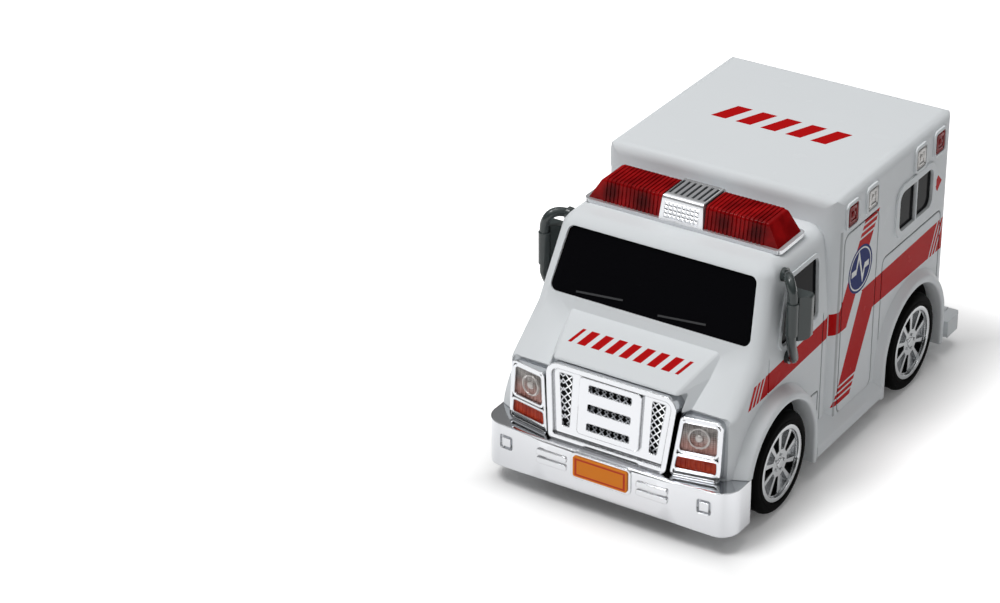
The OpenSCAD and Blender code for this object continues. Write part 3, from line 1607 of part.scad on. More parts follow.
// A flat spring wound from the hub to the drum's wall
spring_steps = 24;
module mainspring() {
  inner = drum_hub + spring_gauge;
  outer = drum_radius - drum_wall - 2 * spring_gauge;
  n = spring_turns * spring_steps;
  color("steelblue")
    at_shaft(barrel_at, drum_place + (drum_depth - spring_width) / 2)
      linear_extrude(spring_width)
        polygon(concat(
          [for (i = [0 : n]) let (r = inner + (outer - inner) * i / n, a = 360 * i / spring_steps)
            r * [cos(a), sin(a)]],
          [for (i = [n : -1 : 0]) let (r = inner + (outer - inner) * i / n + spring_gauge,
            a = 360 * i / spring_steps) r * [cos(a), sin(a)]]));
}
module barrel_arbor() {
  color("silver")
    at_shaft(barrel_at, -case_half)
      cylinder(h = 2 * case_half, r = barrel_pin);
}

body_shell();
chassis_base();
rear_step();
front_bumper();
number_plate();
grille();
grille_mesh();
headlamp_bezel_left();
headlamp_bezel_right();
headlamp_lens_left();
headlamp_lens_right();
indicator_lens_left();
indicator_lens_right();
cab_glazing();
side_box_window();
rear_door_window_left();
rear_door_window_right();
rear_red_lenses();
rear_amber_lenses();
rear_clear_lenses();
side_red_lenses();
side_clear_lenses();
light_bar_base();
light_bar_lens_left();
light_bar_lens_right();
light_bar_centre();
mirror_left();
mirror_right();
chassis_screws();
front_axle();
rear_axle();
tyre_front_left();
tyre_front_right();
tyre_rear_left();
tyre_rear_right();
rim_front_left();
rim_front_right();
rim_rear_left();
rim_rear_right();
motor_case_left();
motor_case_right();
motor_screws();
axle_gear();
idler_gear();
spring_barrel();
barrel_cap();
mainspring();
barrel_arbor();
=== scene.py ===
"""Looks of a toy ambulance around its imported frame: finishes, printed stripes, tyres and studio."""

import json
import logging
import math
from collections.abc import Callable
from dataclasses import dataclass
from enum import Enum
from functools import reduce

import bmesh
import bpy
from mathutils import Matrix, Vector

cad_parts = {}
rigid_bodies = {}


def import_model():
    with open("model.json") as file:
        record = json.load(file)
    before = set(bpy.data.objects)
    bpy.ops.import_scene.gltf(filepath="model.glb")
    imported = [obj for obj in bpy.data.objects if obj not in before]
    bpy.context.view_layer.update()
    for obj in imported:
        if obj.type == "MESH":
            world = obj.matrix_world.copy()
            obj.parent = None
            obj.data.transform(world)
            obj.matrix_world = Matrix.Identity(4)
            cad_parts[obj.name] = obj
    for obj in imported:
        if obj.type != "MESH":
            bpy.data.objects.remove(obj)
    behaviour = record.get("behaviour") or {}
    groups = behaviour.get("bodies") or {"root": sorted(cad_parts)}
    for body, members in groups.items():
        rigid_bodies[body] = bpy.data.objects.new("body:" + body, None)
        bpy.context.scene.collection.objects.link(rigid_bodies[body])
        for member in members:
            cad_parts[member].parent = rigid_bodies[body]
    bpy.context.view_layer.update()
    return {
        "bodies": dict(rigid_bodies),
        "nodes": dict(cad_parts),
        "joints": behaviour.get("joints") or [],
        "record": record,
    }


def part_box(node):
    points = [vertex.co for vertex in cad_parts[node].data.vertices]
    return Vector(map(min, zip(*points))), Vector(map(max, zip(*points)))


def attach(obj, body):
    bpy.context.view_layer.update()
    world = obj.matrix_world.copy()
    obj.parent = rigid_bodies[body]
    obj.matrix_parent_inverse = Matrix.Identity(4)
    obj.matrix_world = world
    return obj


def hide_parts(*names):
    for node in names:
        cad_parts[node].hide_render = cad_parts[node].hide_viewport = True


LOG = logging.getLogger("ambulance")
MM = 0.001
Colour = tuple[float, float, float]
Point = tuple[float, float]
Vec3 = tuple[float, float, float]
SKIN_MERGE = 0.002 * MM


class Side(Enum):
    """Sides of the toy, by the sign of X."""

    LEFT = 1
    RIGHT = -1


class End(Enum):
    """Ends of the toy that have an axle."""

    FRONT = "front"
    REAR = "rear"


class Kind(Enum):
    """Kinds of mesh items that are picked."""

    FACE = "faces"
    EDGE = "edges"


class Sock:
    """A shader value whose operators add Math nodes."""

    def __init__(self, graph: "Graph", socket: bpy.types.NodeSocket) -> None:
        """Keep the graph and the socket that carries the value."""
        self.graph = graph
        self.socket = socket

    def __add__(self, other: "Sock | float") -> "Sock":
        """Sum of two values."""
        return self.graph.math("ADD", self, other)

    def __sub__(self, other: "Sock | float") -> "Sock":
        """Difference of two values."""
        return self.graph.math("SUBTRACT", self, other)

    def __rsub__(self, other: float) -> "Sock":
        """Difference of a number and this value."""
        return self.graph.math("SUBTRACT", other, self)

    def __mul__(self, other: "Sock | float") -> "Sock":
        """Product of two values."""
        return self.graph.math("MULTIPLY", self, other)

    def __and__(self, other: "Sock") -> "Sock":
        """Overlap of two masks."""
        return self.graph.math("MINIMUM", self, other)

    def __or__(self, other: "Sock | float") -> "Sock":
        """Union of two masks."""
        return self.graph.math("MAXIMUM", self, other)

    def __invert__(self) -> "Sock":
        """Rest of a mask."""
        return 1.0 - self

    def __abs__(self) -> "Sock":
        """Size of a value without its sign."""
        return self.graph.math("ABSOLUTE", self)

    def repeat(self) -> "Sock":
        """Fraction of a value, which repeats from 0 to 1."""
        return self.graph.math("FRACT", self)

    def over(self, edge: float, soft: float = 0.06) -> "Sock":
        """Mask of the values above an edge, at which it is one half, that rises over a soft width."""
        return self.graph.math("MULTIPLY_ADD", self, 1 / soft, 0.5 - edge / soft, clamp=True)

    def within(self, low: float, high: float, soft: float = 0.06) -> "Sock":
        """Mask of the values between two edges."""
        return self.over(low, soft) & ~self.over(high, soft)


class Graph:
    """Nodes of one material or world, added through one method."""

    def __init__(self, owner: bpy.types.ID) -> None:
        """Clear the owner's nodes.

        Args:
            owner: material or world that gets the nodes.
        """
        owner.use_nodes = True
        self.tree = owner.node_tree
        self.tree.nodes.clear()

    def node(self, kind: str, settings: dict | None = None, inputs: dict | None = None) -> bpy.types.Node:
        """Add a node.

        Args:
            kind: type of the node.
            settings: attributes, set before the sockets.
            inputs: numbers, opaque colours or links by socket name or number.

        Returns:
            The new node.
        """
        node = self.tree.nodes.new(kind)
        for name, value in (settings or {}).items():
            setattr(node, name, value)
        for key, value in (inputs or {}).items():
            if isinstance(value, Sock):
                self.tree.links.new(value.socket, node.inputs[key])
            elif isinstance(value, tuple):
                node.inputs[key].default_value = (*value, 1.0)
            else:
                node.inputs[key].default_value = value
        return node

    def math(self, operation: str, *values: Sock | float, clamp: bool = False) -> Sock:
        """Add a Math node on values."""
        settings = {"operation": operation, "use_clamp": clamp}
        return Sock(self, self.node("ShaderNodeMath", settings, dict(enumerate(values))).outputs[0])

    def mix(self, share: Sock, low: Sock | Colour, high: Sock | Colour) -> Sock:
        """Mix two colours by the share of the second."""
        inputs = {0: share, 6: low, 7: high}
        return Sock(self, self.node("ShaderNodeMix", {"data_type": "RGBA"}, inputs).outputs[2])


class Place:
    """Place of a surface point in millimetres, with masks drawn on its coordinates."""

    def __init__(self, graph: Graph) -> None:
        """Read the Object coordinates.

        Args:
            graph: nodes that the masks are added to.
        """
        self.graph = graph
        self.coords = Sock(graph, graph.node("ShaderNodeTexCoord").outputs["Object"])
        split = graph.node("ShaderNodeSeparateXYZ", None, {0: self.coords})
        self.x, self.y, self.z = (Sock(graph, split.outputs[i]) * (1 / MM) for i in range(3))

    def noise(self, scale: float, detail: float = 3.0) -> Sock:
        """Cloudy value from 0 to 1, with scale clouds in a metre."""
        inputs = {"Vector": self.coords, "Scale": scale, "Detail": detail}
        return Sock(self.graph, self.graph.node("ShaderNodeTexNoise", None, inputs).outputs["Fac"])

    def edge(self, u: Sock, v: Sock, a: Point, b: Point) -> Sock:
        """Distance of a point to the left of a line.

        Args:
            u: first coordinate.
            v: second coordinate.
            a: point where the line starts.
            b: point where the line ends.

        Returns:
            The distance, below 0 on the right.
        """
        run, rise = b[0] - a[0], b[1] - a[1]
        length = math.hypot(run, rise)
        across = self.graph.math("MULTIPLY_ADD", u, -rise / length, (rise * a[0] - run * a[1]) / length)
        return self.graph.math("MULTIPLY_ADD", v, run / length, across)

    def patch(self, u: Sock, v: Sock, corners: tuple[Point, ...]) -> Sock:
        """Mask inside a convex outline, whose corners are listed anticlockwise."""
        edges = (self.edge(u, v, a, b) for a, b in zip(corners, corners[1:] + corners[:1]))
        return reduce(Sock.__and__, edges).over(0.0)

    def disc(self, u: Sock, v: Sock, centre: Point) -> Sock:
        """Distance from a centre."""
        across, up = u - centre[0], v - centre[1]
        return self.graph.math("SQRT", across * across + up * up)

    def diamond(self, u: Sock, v: Sock, centre: Point, half: float) -> Sock:
        """Mask of a diamond."""
        return (half - abs(u - centre[0]) - abs(v - centre[1])).over(0.0)


@dataclass(frozen=True)
class Bars:
    """A printed row of slanted bars."""

    centre: Point
    half: Point
    pitch: float
    slant: float = 0.4
    phase: float = 0.5
    ink: Point = (0.2, 0.8)
    soft: float = 0.06

    def mask(self, u: Sock, v: Sock) -> Sock:
        """Mask of the bars.

        Args:
            u: coordinate along the row.
            v: coordinate up the bars.

        Returns:
            The mask.
        """
        rise = v - self.centre[1]
        step = (u - self.centre[0]) - rise * self.slant
        row = ~abs(step).over(self.half[0]) & ~abs(rise).over(self.half[1])
        comb = (step * (1 / self.pitch) + self.phase).repeat()
        return row & comb.within(*self.ink, self.soft / self.pitch)


@dataclass(frozen=True)
class Badge:
    """A printed blue disc with a pale ring and a pulse line, sized by shares of its radius."""

    centre: Point
    radius: float
    blue: Colour = (0.014, 0.026, 0.15)
    pale: Colour = (0.86, 0.86, 0.86)
    ring: Point = (0.84, 0.9)
    peak: Point = (-0.14, 0.66)
    dip: Point = (0.22, 0.5)
    steepness: float = 3.2
    line: float = 0.075
    swell: float = 0.12
    swell_edge: Point = (0.01, 0.1)
    reach: float = 0.72
    soft: float = 0.03

    def pulse(self, u: Sock, v: Sock) -> Sock:
        """Mask of a line with one peak and one dip.

        Args:
            u: first coordinate of the face.
            v: second coordinate of the face.

        Returns:
            The mask.
        """
        along, up = ((w - c) * (1 / self.radius) for w, c in zip((u, v), self.centre))
        peak, dip = ((high - abs(along - at) * self.steepness) | 0.0 for at, high in (self.peak, self.dip))
        half = (peak | dip).over(*self.swell_edge) * self.swell + self.line
        inside = (half - abs(up - peak + dip)).over(0.0, self.soft)
        return inside & (self.reach - abs(along)).over(0.0, self.soft)

    def paint(self, p: Place, u: Sock, v: Sock, ground: Sock) -> Sock:
        """Print the badge.

        Args:
            p: place of the surface.
            u: first coordinate of the face.
            v: second coordinate of the face.
            ground: colour below the badge.

        Returns:
            The colour with the badge.
        """
        away = p.disc(u, v, self.centre)
        pale = away.within(*(self.radius * share for share in self.ring)) | self.pulse(u, v)
        return p.graph.mix(~away.over(self.radius), ground, p.graph.mix(pale, self.blue, self.pale))


@dataclass(frozen=True)
class Finish:
    """A moulded surface: its colour drifts a little, and a fine grain breaks its gloss."""

    name: str
    colour: Colour
    roughness: float = 0.35
    metallic: float = 0.0
    coat: float = 0.0
    coat_roughness: float = 0.04
    drift: float = 0.05
    drift_scale: float = 55.0
    haze: float = 0.06
    haze_scale: float = 140.0
    grain_scale: float = 900.0
    grain_depth: float = 0.004
    soft_edge: float = 0.18
    edge_samples: int = 4
    sheen: float = 0.06

    def paint(self, p: Place) -> Sock:
        """Colour over the surface, which drifts a little to both sides."""
        low, high = (tuple(min(1.0, c * (1 + way * self.drift)) for c in self.colour) for way in (-1, 1))
        return p.graph.mix(p.noise(self.drift_scale), low, high)

    def gloss(self, p: Place) -> Sock:
        """Roughness over the surface."""
        return p.noise(self.haze_scale) * (2 * self.haze) + (self.roughness - self.haze)

    def metal(self, p: Place) -> Sock | float:
        """Metal share over the surface."""
        return self.metallic

    def relief(self, p: Place) -> Sock:
        """Height of the surface in millimetres."""
        return p.noise(self.grain_scale) * self.grain_depth

    def build(self) -> bpy.types.Material:
        """Make the material.

        Returns:
            The material with its nodes.
        """
        material = bpy.data.materials.new(self.name)
        graph = Graph(material)
        place = Place(graph)
        edge = graph.node("ShaderNodeBevel", {"samples": self.edge_samples}, {"Radius": self.soft_edge * MM})
        bump = graph.node("ShaderNodeBump", None, {
            "Strength": 1.0, "Distance": MM, "Height": self.relief(place),
            "Normal": Sock(graph, edge.outputs[0])})
        shader = graph.node("ShaderNodeBsdfPrincipled", None, {
            "Base Color": self.paint(place), "Roughness": self.gloss(place), "Metallic": self.metal(place),
            "Coat Weight": self.coat, "Coat Roughness": self.coat_roughness,
            "Specular IOR Level": self.sheen, "Normal": Sock(graph, bump.outputs[0])})
        graph.node("ShaderNodeOutputMaterial", None, {"Surface": Sock(graph, shader.outputs[0])})
        return material


@dataclass(frozen=True)
class Livery(Finish):
    """White gloss with printed red stripes, blue badges and slanted marks, and painted shade in its door
    lines.
    """

    red: Colour = (0.5, 0.006, 0.007)
    side_plane: float = 31.0
    stripes: tuple[tuple[Point, ...], ...] = (
        ((12.6, 33.5), (52.6, 33.0), (52.6, 42.0), (6.4, 41.2)),
        ((-6.6, 13.6), (2.5, 13.6), (13.0, 33.5), (6.8, 41.2)),
        ((-8.8, 34.3), (-1.2, 34.3), (14.3, 61.0), (6.7, 61.0)),
        ((-48.6, 33.0), (-9.0, 34.4), (-9.0, 40.3), (-45.9, 38.5)),
        ((-9.2, 34.4), (-1.2, 34.3), (2.4, 40.5), (-9.2, 40.3)),
    )
    front_end: tuple[Point, Point] = ((-45.9, 38.5), (-48.6, 33.0))
    rear_end: tuple[Point, Point] = ((51.6, 33.0), (56.0, 42.0))
    foot: float = 13.6
    head: float = 61.0
    line_starts: tuple[float, ...] = (1.3, 2.6, 1.4, 1.2)
    line_span: float = 4.0
    line_pitch: float = 1.6
    line_share: float = 0.32
    line_soft: float = 0.05
    side_diamond: Point = (47.6, 53.6)
    rear_diamond: Point = (-24.3, 48.3)
    diamond_half: float = 2.3
    roof_bars: Bars = Bars((0.0, 23.0), (17.7, 4.2), 7.1)
    roof_plane: float = 71.3
    bonnet_bars: Bars = Bars((0.0, -50.4), (15.4, 2.2), 3.9)
    bonnet_span: Point = (38.0, 46.0)
    rear_band: tuple[Point, ...] = ((-18.3, 12.5), (18.3, 12.5), (18.3, 17.6), (-18.3, 17.6))
    rear_bars: tuple[Bars, ...] = (Bars((0.0, 23.0), (16.0, 2.0), 3.6), Bars((25.0, 49.3), (4.0, 1.6), 2.2))
    rear_plane: float = 55.2
    left_badge: Badge = Badge((5.0, 47.9), 6.4)
    right_badge: Badge = Badge((27.9, 53.3), 6.4)
    # Grey of the painted shade in the sunk door lines, and how much of it is mixed in.
    seam_shade: Colour = (0.25, 0.26, 0.265)
    seam_shade_share: float = 0.5
    seam_depth: Point = (0.55, 0.12)
    seam_soft: float = 0.08
    box_half: float = 32.8
    cab_half: float = 31.4
    box_rear: float = 55.6
    box_seams: tuple[Point, Point] = ((-6.0, 52.5), (9.0, 62.4))
    cab_seams: tuple[Point, Point] = ((-34.0, -9.4), (9.0, 41.8))
    rear_seams: tuple[Point, Point] = ((-1.0, 19.8), (9.0, 62.0))
    wheels: tuple[Point, Point] = ((-35.6, 13.2), (35.1, 13.2))
    arch: float = 18.6

    def lines(self, depth: Sock, start: float) -> Sock:
        """Thin lines that cross the end of a stripe."""
        comb = ((depth - start) * (1 / self.line_pitch)).repeat()
        return depth.within(start, start + self.line_span) & ~comb.over(self.line_share, self.line_soft)

    def side_print(self, p: Place) -> Sock:
        """Bands, diagonals and diamond that both sides share.

        Args:
            p: place of the surface.

        Returns:
            Mask of the red print.
        """
        ends = (p.edge(p.y, p.z, *self.front_end), p.edge(p.y, p.z, *self.rear_end),
                p.z - self.foot, self.head - p.z)
        lines = reduce(Sock.__or__, map(self.lines, ends, self.line_starts))
        bands = reduce(Sock.__or__, (p.patch(p.y, p.z, corners) for corners in self.stripes))
        ink = bands & ~lines | p.diamond(p.y, p.z, self.side_diamond, self.diamond_half)
        return ink & abs(p.x).over(self.side_plane)

    def rear_print(self, p: Place) -> Sock:
        """Band, bars and diamond on the rear.

        Args:
            p: place of the surface.

        Returns:
            Mask of the red print.
        """
        ink = p.patch(p.x, p.z, self.rear_band) | p.diamond(p.x, p.z, self.rear_diamond, self.diamond_half)
        for bars in self.rear_bars:
            ink = ink | bars.mask(p.x, p.z)
        return ink & p.y.over(self.rear_plane)

    def sunk(self, face: Sock, plane: float) -> Sock:
        """Mask of what lies a little below a plane."""
        deep, shallow = self.seam_depth
        return face.within(plane - deep, plane - shallow, self.seam_soft)

    def seams(self, p: Place) -> Sock:
        """Door lines that get painted shade, told by their depth below the sides and the rear.

        Args:
            p: place of the surface.

        Returns:
            Mask of the sunk lines.
        """
        reach = abs(p.x)
        faces = ((reach, self.box_half, p.y, self.box_seams), (reach, self.cab_half, p.y, self.cab_seams),
                 (p.y, self.box_rear, reach, self.rear_seams))
        box, cab, rear = (self.sunk(face, plane) & across.within(*width) & p.z.within(*height)
                          for face, plane, across, (width, height) in faces)
        sides = box | cab
        for wheel in self.wheels:
            sides = sides & p.disc(p.y, p.z, wheel).over(self.arch)
        return sides | rear

    def paint(self, p: Place) -> Sock:
        """White with the prints of each face, and painted shade in the door lines.

        Args:
            p: place of the surface.

        Returns:
            The colour.
        """
        roof = self.roof_bars.mask(p.x, p.y) & p.z.over(self.roof_plane)
        bonnet = self.bonnet_bars.mask(p.x, p.y) & p.z.within(*self.bonnet_span)
        ink = self.side_print(p) | roof | bonnet | self.rear_print(p)
        ground = p.graph.mix(ink, super().paint(p), self.red)
        left, right = p.x.over(self.side_plane), ~p.x.over(-self.side_plane)
        for side, badge in ((left, self.left_badge), (right, self.right_badge)):
            ground = p.graph.mix(side, ground, badge.paint(p, p.y, p.z, ground))
        # Painted shade: the sunk door lines are tinted grey.
        return p.graph.mix(self.seams(p) * self.seam_shade_share, ground, self.seam_shade)


@dataclass(frozen=True)
class PrintedGlass(Finish):
    """Black glass with the blue badge of the rear doors."""

    badge: Badge = Badge((9.45, 46.3), 4.3)

    def paint(self, p: Place) -> Sock:
        """Black with a badge in the middle of each pane."""
        return self.badge.paint(p, abs(p.x), p.z, super().paint(p))


@dataclass(frozen=True)
class Screen(Finish):
    """Black glazing whose moulded wipers are painted paler than the raked pane they lie on, as a painted
    highlight for their glints.
    """

    rake: float = 23.5
    pane: float = 57.2
    wiper_rise: float = 0.14
    wiper_highlight: Colour = (0.07, 0.072, 0.075)

    def paint(self, p: Place) -> Sock:
        """Black, with wipers above the pane painted grey as a painted highlight.

        Args:
            p: place of the surface.

        Returns:
            The colour.
        """
        lean = math.radians(self.rake)
        height = p.z * math.sin(lean) - p.y * math.cos(lean)
        # Painted highlight: the wipers, black like the pane, are tinted grey.
        return p.graph.mix(height.over(self.pane + self.wiper_rise), super().paint(p), self.wiper_highlight)


@dataclass(frozen=True)
class Jewel(Finish):
    """A moulded lens, deep in colour, with brighter clouds and fine prisms."""

    glow: Colour = (0.8, 0.1, 0.08)
    prism: float = 0.55
    prism_depth: float = 0.02
    ridge: Point = (0.8, 0.4)
    ridge_share: float = 0.3
    cloud: Point = (0.5, 0.3)
    cloud_scale: float = 420.0
    cloud_share: float = 0.35

    def prisms(self, p: Place) -> Sock:
        """Height of the prisms, from 0 to 1."""
        ways = [abs((way * (1 / self.prism)).repeat() - 0.5) for way in (p.x + p.y, p.z)]
        return (ways[0] | ways[1]) * 2.0

    def paint(self, p: Place) -> Sock:
        """Deep colour that lights up on the prisms' ridges.

        Args:
            p: place of the surface.

        Returns:
            The colour.
        """
        ridges = self.prisms(p).over(*self.ridge) * self.ridge_share
        clouds = p.noise(self.cloud_scale).over(*self.cloud) * self.cloud_share
        return p.graph.mix(ridges + clouds, super().paint(p), self.glow)

    def relief(self, p: Place) -> Sock:
        """Prisms on the face."""
        return self.prisms(p) * self.prism_depth


@dataclass(frozen=True)
class Headlamp(Jewel):
    """A clear lens with a bright bulb before a bowl that is darker above, with a painted warm reflection
    below.
    """

    lamp: Point = (23.53, 28.05)
    bowl: float = 2.5
    bowl_half: float = 0.3
    bulb: float = 1.0
    soft: float = 0.2
    pale_share: float = 0.8
    warm_reflection: Colour = (0.42, 0.13, 0.09)
    reflection_drop: float = 0.6
    reflection_soft: float = 3.6
    reflection_share: float = 0.55

    def paint(self, p: Place) -> Sock:
        """Grey bowl with a pale rim and bulb, and a painted warm reflection at its foot.

        Args:
            p: place of the surface.

        Returns:
            The colour.
        """
        away = p.disc(abs(p.x), p.z, self.lamp)
        rim = away.within(self.bowl - self.bowl_half, self.bowl + self.bowl_half, self.soft)
        # Painted reflection: a warm tint that fades in towards the foot of the lens.
        foot = ~p.z.over(self.lamp[1] - self.reflection_drop, self.reflection_soft)
        ground = p.graph.mix(foot * self.reflection_share, super().paint(p), self.warm_reflection)
        return p.graph.mix((rim | ~away.over(self.bulb, self.soft)) * self.pale_share, ground, self.glow)


@dataclass(frozen=True)
class BarLens(Finish):
    """Deep red lens with two dark lamps behind the ribs."""

    dark: Colour = (0.03, 0.001, 0.0015)
    bright: Colour = (0.5, 0.008, 0.009)
    cloud: Point = (0.52, 0.3)
    cloud_scale: float = 170.0
    cloud_share: float = 0.7
    lamps: tuple[Point, ...] = ((11.2, 68.2), (20.2, 68.2))
    lamp_radius: float = 2.3
    lamp_soft: float = 2.4
    lamp_share: float = 0.75

    def paint(self, p: Place) -> Sock:
        """Red that lights up in clouds and darkens at the lamps.

        Args:
            p: place of the surface.

        Returns:
            The colour.
        """
        clouds = p.noise(self.cloud_scale).over(*self.cloud) * self.cloud_share
        lit = p.graph.mix(clouds, super().paint(p), self.bright)
        for lamp in self.lamps:
            near = ~p.disc(abs(p.x), p.z, lamp).over(self.lamp_radius, self.lamp_soft)
            lit = p.graph.mix(near * self.lamp_share, lit, self.dark)
        return lit


@dataclass(frozen=True)
class Louvred(Finish):
    """Plated plastic whose upper louvres are dark between the bars."""

    dark: Colour = (0.2, 0.21, 0.22)
    height: tuple[float, float, float] = (70.75, 71.3, 0.1)
    length: tuple[float, float, float] = (-25.6, -16.4, 0.2)

    def paint(self, p: Place) -> Sock:
        """Silver, darker in the louvres."""
        slots = p.z.within(*self.height) & p.y.within(*self.length)
        return p.graph.mix(slots, super().paint(p), self.dark)


@dataclass(frozen=True)
class Net(Finish):
    """Silver net over a black backing; the flanks of its wires and the walls of its holes take the black
    too, as painted shade, so silver stays only along the middle of each wire's face.
    """

    black: Colour = (0.012, 0.012, 0.013)
    foot: float = -58.74
    foot_soft: float = 0.06
    lean: float = 0.1051
    base: float = 17.4
    first_row: float = 20.768
    row_pitch: float = 0.9945
    column_pitch: float = 2.0
    wire: float = 0.11
    wire_soft: float = 0.03

    def face(self, p: Place) -> Sock:
        """Mask of the silver middle of the net's wires; their flanks are left to painted shade.

        Args:
            p: place of the surface.

        Returns:
            The mask.
        """
        # Painted shade: the wires' flanks and the holes' walls are silver, but they are painted black like
        # the backing behind them.
        front = ~(p.y - (p.z - self.base) * self.lean).over(self.foot, self.foot_soft)
        row = (p.z - self.first_row) * (1 / self.row_pitch)
        ways = [abs((way * (1 / self.column_pitch)).repeat() - 0.5) for way in (p.x + row, p.x - row)]
        return front & ~(ways[0] & ways[1]).over(self.wire, self.wire_soft)

    def paint(self, p: Place) -> Sock:
        """Silver on the middles of the wires; black below, partly the backing and partly painted shade on
        the wires' flanks and the holes' walls.
        """
        return p.graph.mix(self.face(p), self.black, super().paint(p))

    def metal(self, p: Place) -> Sock:
        """Metal on the wires alone."""
        return self.face(p)


@dataclass(frozen=True)
class Plated(Finish):
    """Chrome plating with painted shade: its colour darkens in its own corners and grooves, by ambient
    occlusion.
    """

    painted_corner_shade: Colour = (0.15, 0.155, 0.16)
    corner_reach: float = 1.0
    corner_half: float = 0.6
    corner_soft: float = 0.5
    corner_samples: int = 8

    def paint(self, p: Place) -> Sock:
        """Bright plating, with painted shade where its walls meet.

        Args:
            p: place of the surface.

        Returns:
            The colour.
        """
        # Painted shade: the plating's colour goes dark where ambient occlusion finds its own walls close by.
        settings = {"only_local": True, "samples": self.corner_samples}
        node = p.graph.node("ShaderNodeAmbientOcclusion", settings, {"Distance": self.corner_reach * MM})
        unshaded = Sock(p.graph, node.outputs["AO"]).over(self.corner_half, self.corner_soft)
        return p.graph.mix(unshaded, self.painted_corner_shade, super().paint(p))


@dataclass(frozen=True)
class Plate(Finish):
    """A bare number plate with a printed border."""

    border: Colour = (0.62, 0.06, 0.02)
    height: float = 13.6
    inner: Point = (6.5, 1.9)
    outer: Point = (7.1, 2.4)

    def beyond(self, p: Place, half: Point) -> Sock:
        """Mask of what lies outside a rectangle round the plate's middle."""
        return abs(p.x).over(half[0]) | abs(p.z - self.height).over(half[1])

    def paint(self, p: Place) -> Sock:
        """Amber field in a red border line."""
        line = self.beyond(p, self.inner) & ~self.beyond(p, self.outer)
        return p.graph.mix(line, super().paint(p), self.border)


@dataclass(frozen=True)
class MirrorShell(Finish):
    """Slate-grey moulding with a silvered glass in its rear face."""

    silver: Colour = (0.8, 0.82, 0.84)
    glass_plane: float = -29.3
    glass_half: float = 0.06
    glass_span: Point = (47.0, 57.4)

    def glass(self, p: Place) -> Sock:
        """Mask of the sunk glass."""
        face = p.y.within(self.glass_plane - self.glass_half, self.glass_plane + self.glass_half)
        return face & p.z.within(*self.glass_span)

    def paint(self, p: Place) -> Sock:
        """Grey, with a bright glass."""
        return p.graph.mix(self.glass(p), super().paint(p), self.silver)

    def metal(self, p: Place) -> Sock:
        """Metal on the glass alone."""
        return self.glass(p)


@dataclass(frozen=True)
class Brushed(Finish):
    """Drawn steel with fine lines along X."""

    line_pitch: float = 0.25
    line_depth: float = 0.004

    def relief(self, p: Place) -> Sock:
        """Lines along the pins."""
        return ((p.y + p.z) * (1 / self.line_pitch)).repeat() * self.line_depth


GLASS = {"roughness": 0.1, "haze": 0.03, "sheen": 0.03, "grain_depth": 0.0006}
PLATING = {"colour": (0.61, 0.62, 0.64), "roughness": 0.08, "metallic": 1.0, "haze": 0.03, "drift": 0.03,
           "grain_depth": 0.0008, "soft_edge": 0.45}
FINISHES: dict[str, Finish] = {
    "white_paint": Livery("white_gloss", (0.79, 0.82, 0.84), roughness=0.26, coat=0.02, drift=0.012,
                          haze=0.04, sheen=0.015, grain_depth=0.0015, soft_edge=0.3),
    "dark_plastic": Finish("dark_moulding", (0.018, 0.018, 0.02), roughness=0.5, grain_depth=0.01),
    "chrome": Plated("plated_chrome", **PLATING),
    "mesh_silver": Net("grille_net", (0.84, 0.85, 0.87), roughness=0.3, soft_edge=0.05),
    "plate_orange": Plate("bare_plate", (0.86, 0.25, 0.02), roughness=0.3, coat=0.1),
    "clear_lens": Jewel("clear_jewel", (0.4, 0.39, 0.38), roughness=0.16, metallic=0.35, coat=0.3,
                        glow=(0.82, 0.81, 0.8)),
    "amber_lens": Jewel("amber_jewel", (0.34, 0.014, 0.006), roughness=0.16, coat=0.2,
                        glow=(0.85, 0.1, 0.025)),
    "red_lens": Jewel("red_jewel", (0.17, 0.003, 0.005), roughness=0.16, coat=0.2,
                      glow=(0.5, 0.012, 0.014)),
    "bar_red": BarLens("bar_lens", (0.22, 0.002, 0.003), roughness=0.16, coat=0.07, sheen=0.03,
                       grain_depth=0.006, soft_edge=0.12),
    "black_glass": Finish("black_glazing", (0.004, 0.004, 0.005), **GLASS),
    "silver_plastic": Louvred("silver_plating", (0.7, 0.71, 0.73), roughness=0.24, metallic=0.7, drift=0.06,
                              soft_edge=0.06),
    "mirror_grey": MirrorShell("slate_moulding", (0.045, 0.056, 0.056), roughness=0.2, coat=0.3, sheen=0.25,
                               drift=0.06),
    "steel": Brushed("drawn_steel", (0.55, 0.55, 0.56), roughness=0.28, metallic=1.0),
    "tyre": Finish("black_rubber", (0.004, 0.004, 0.004), roughness=0.55, drift=0.15, sheen=0.012,
                   grain_depth=0.012),
    "motor_plastic": Finish("motor_moulding", (0.05, 0.055, 0.06), roughness=0.45, grain_depth=0.01),
    "gear_plastic": Finish("gear_moulding", (0.72, 0.69, 0.6), roughness=0.4, grain_depth=0.006),
}
HEADLAMP = Headlamp("headlamp_lens", (0.1, 0.088, 0.082), roughness=0.12, metallic=0.3, coat=0.25,
                    glow=(0.66, 0.63, 0.61))
REAR_GLASS = PrintedGlass("printed_glass", (0.006, 0.006, 0.008), **GLASS)
SCREEN = Screen("cab_screen", (0.004, 0.004, 0.005), **GLASS)
BUMPER_PLATING = Finish("bumper_plating", **PLATING)
# A darker copy of the front's plating: its dimmed colour is painted reflection, for the darker surroundings
# that the rims reflect.
DIMMED_RIM_PLATING = Finish("rim_plating", (0.43, 0.44, 0.45), roughness=0.16, metallic=1.0, haze=0.06, drift=0.1,
                     grain_scale=1400.0, grain_depth=0.06, soft_edge=0.2)


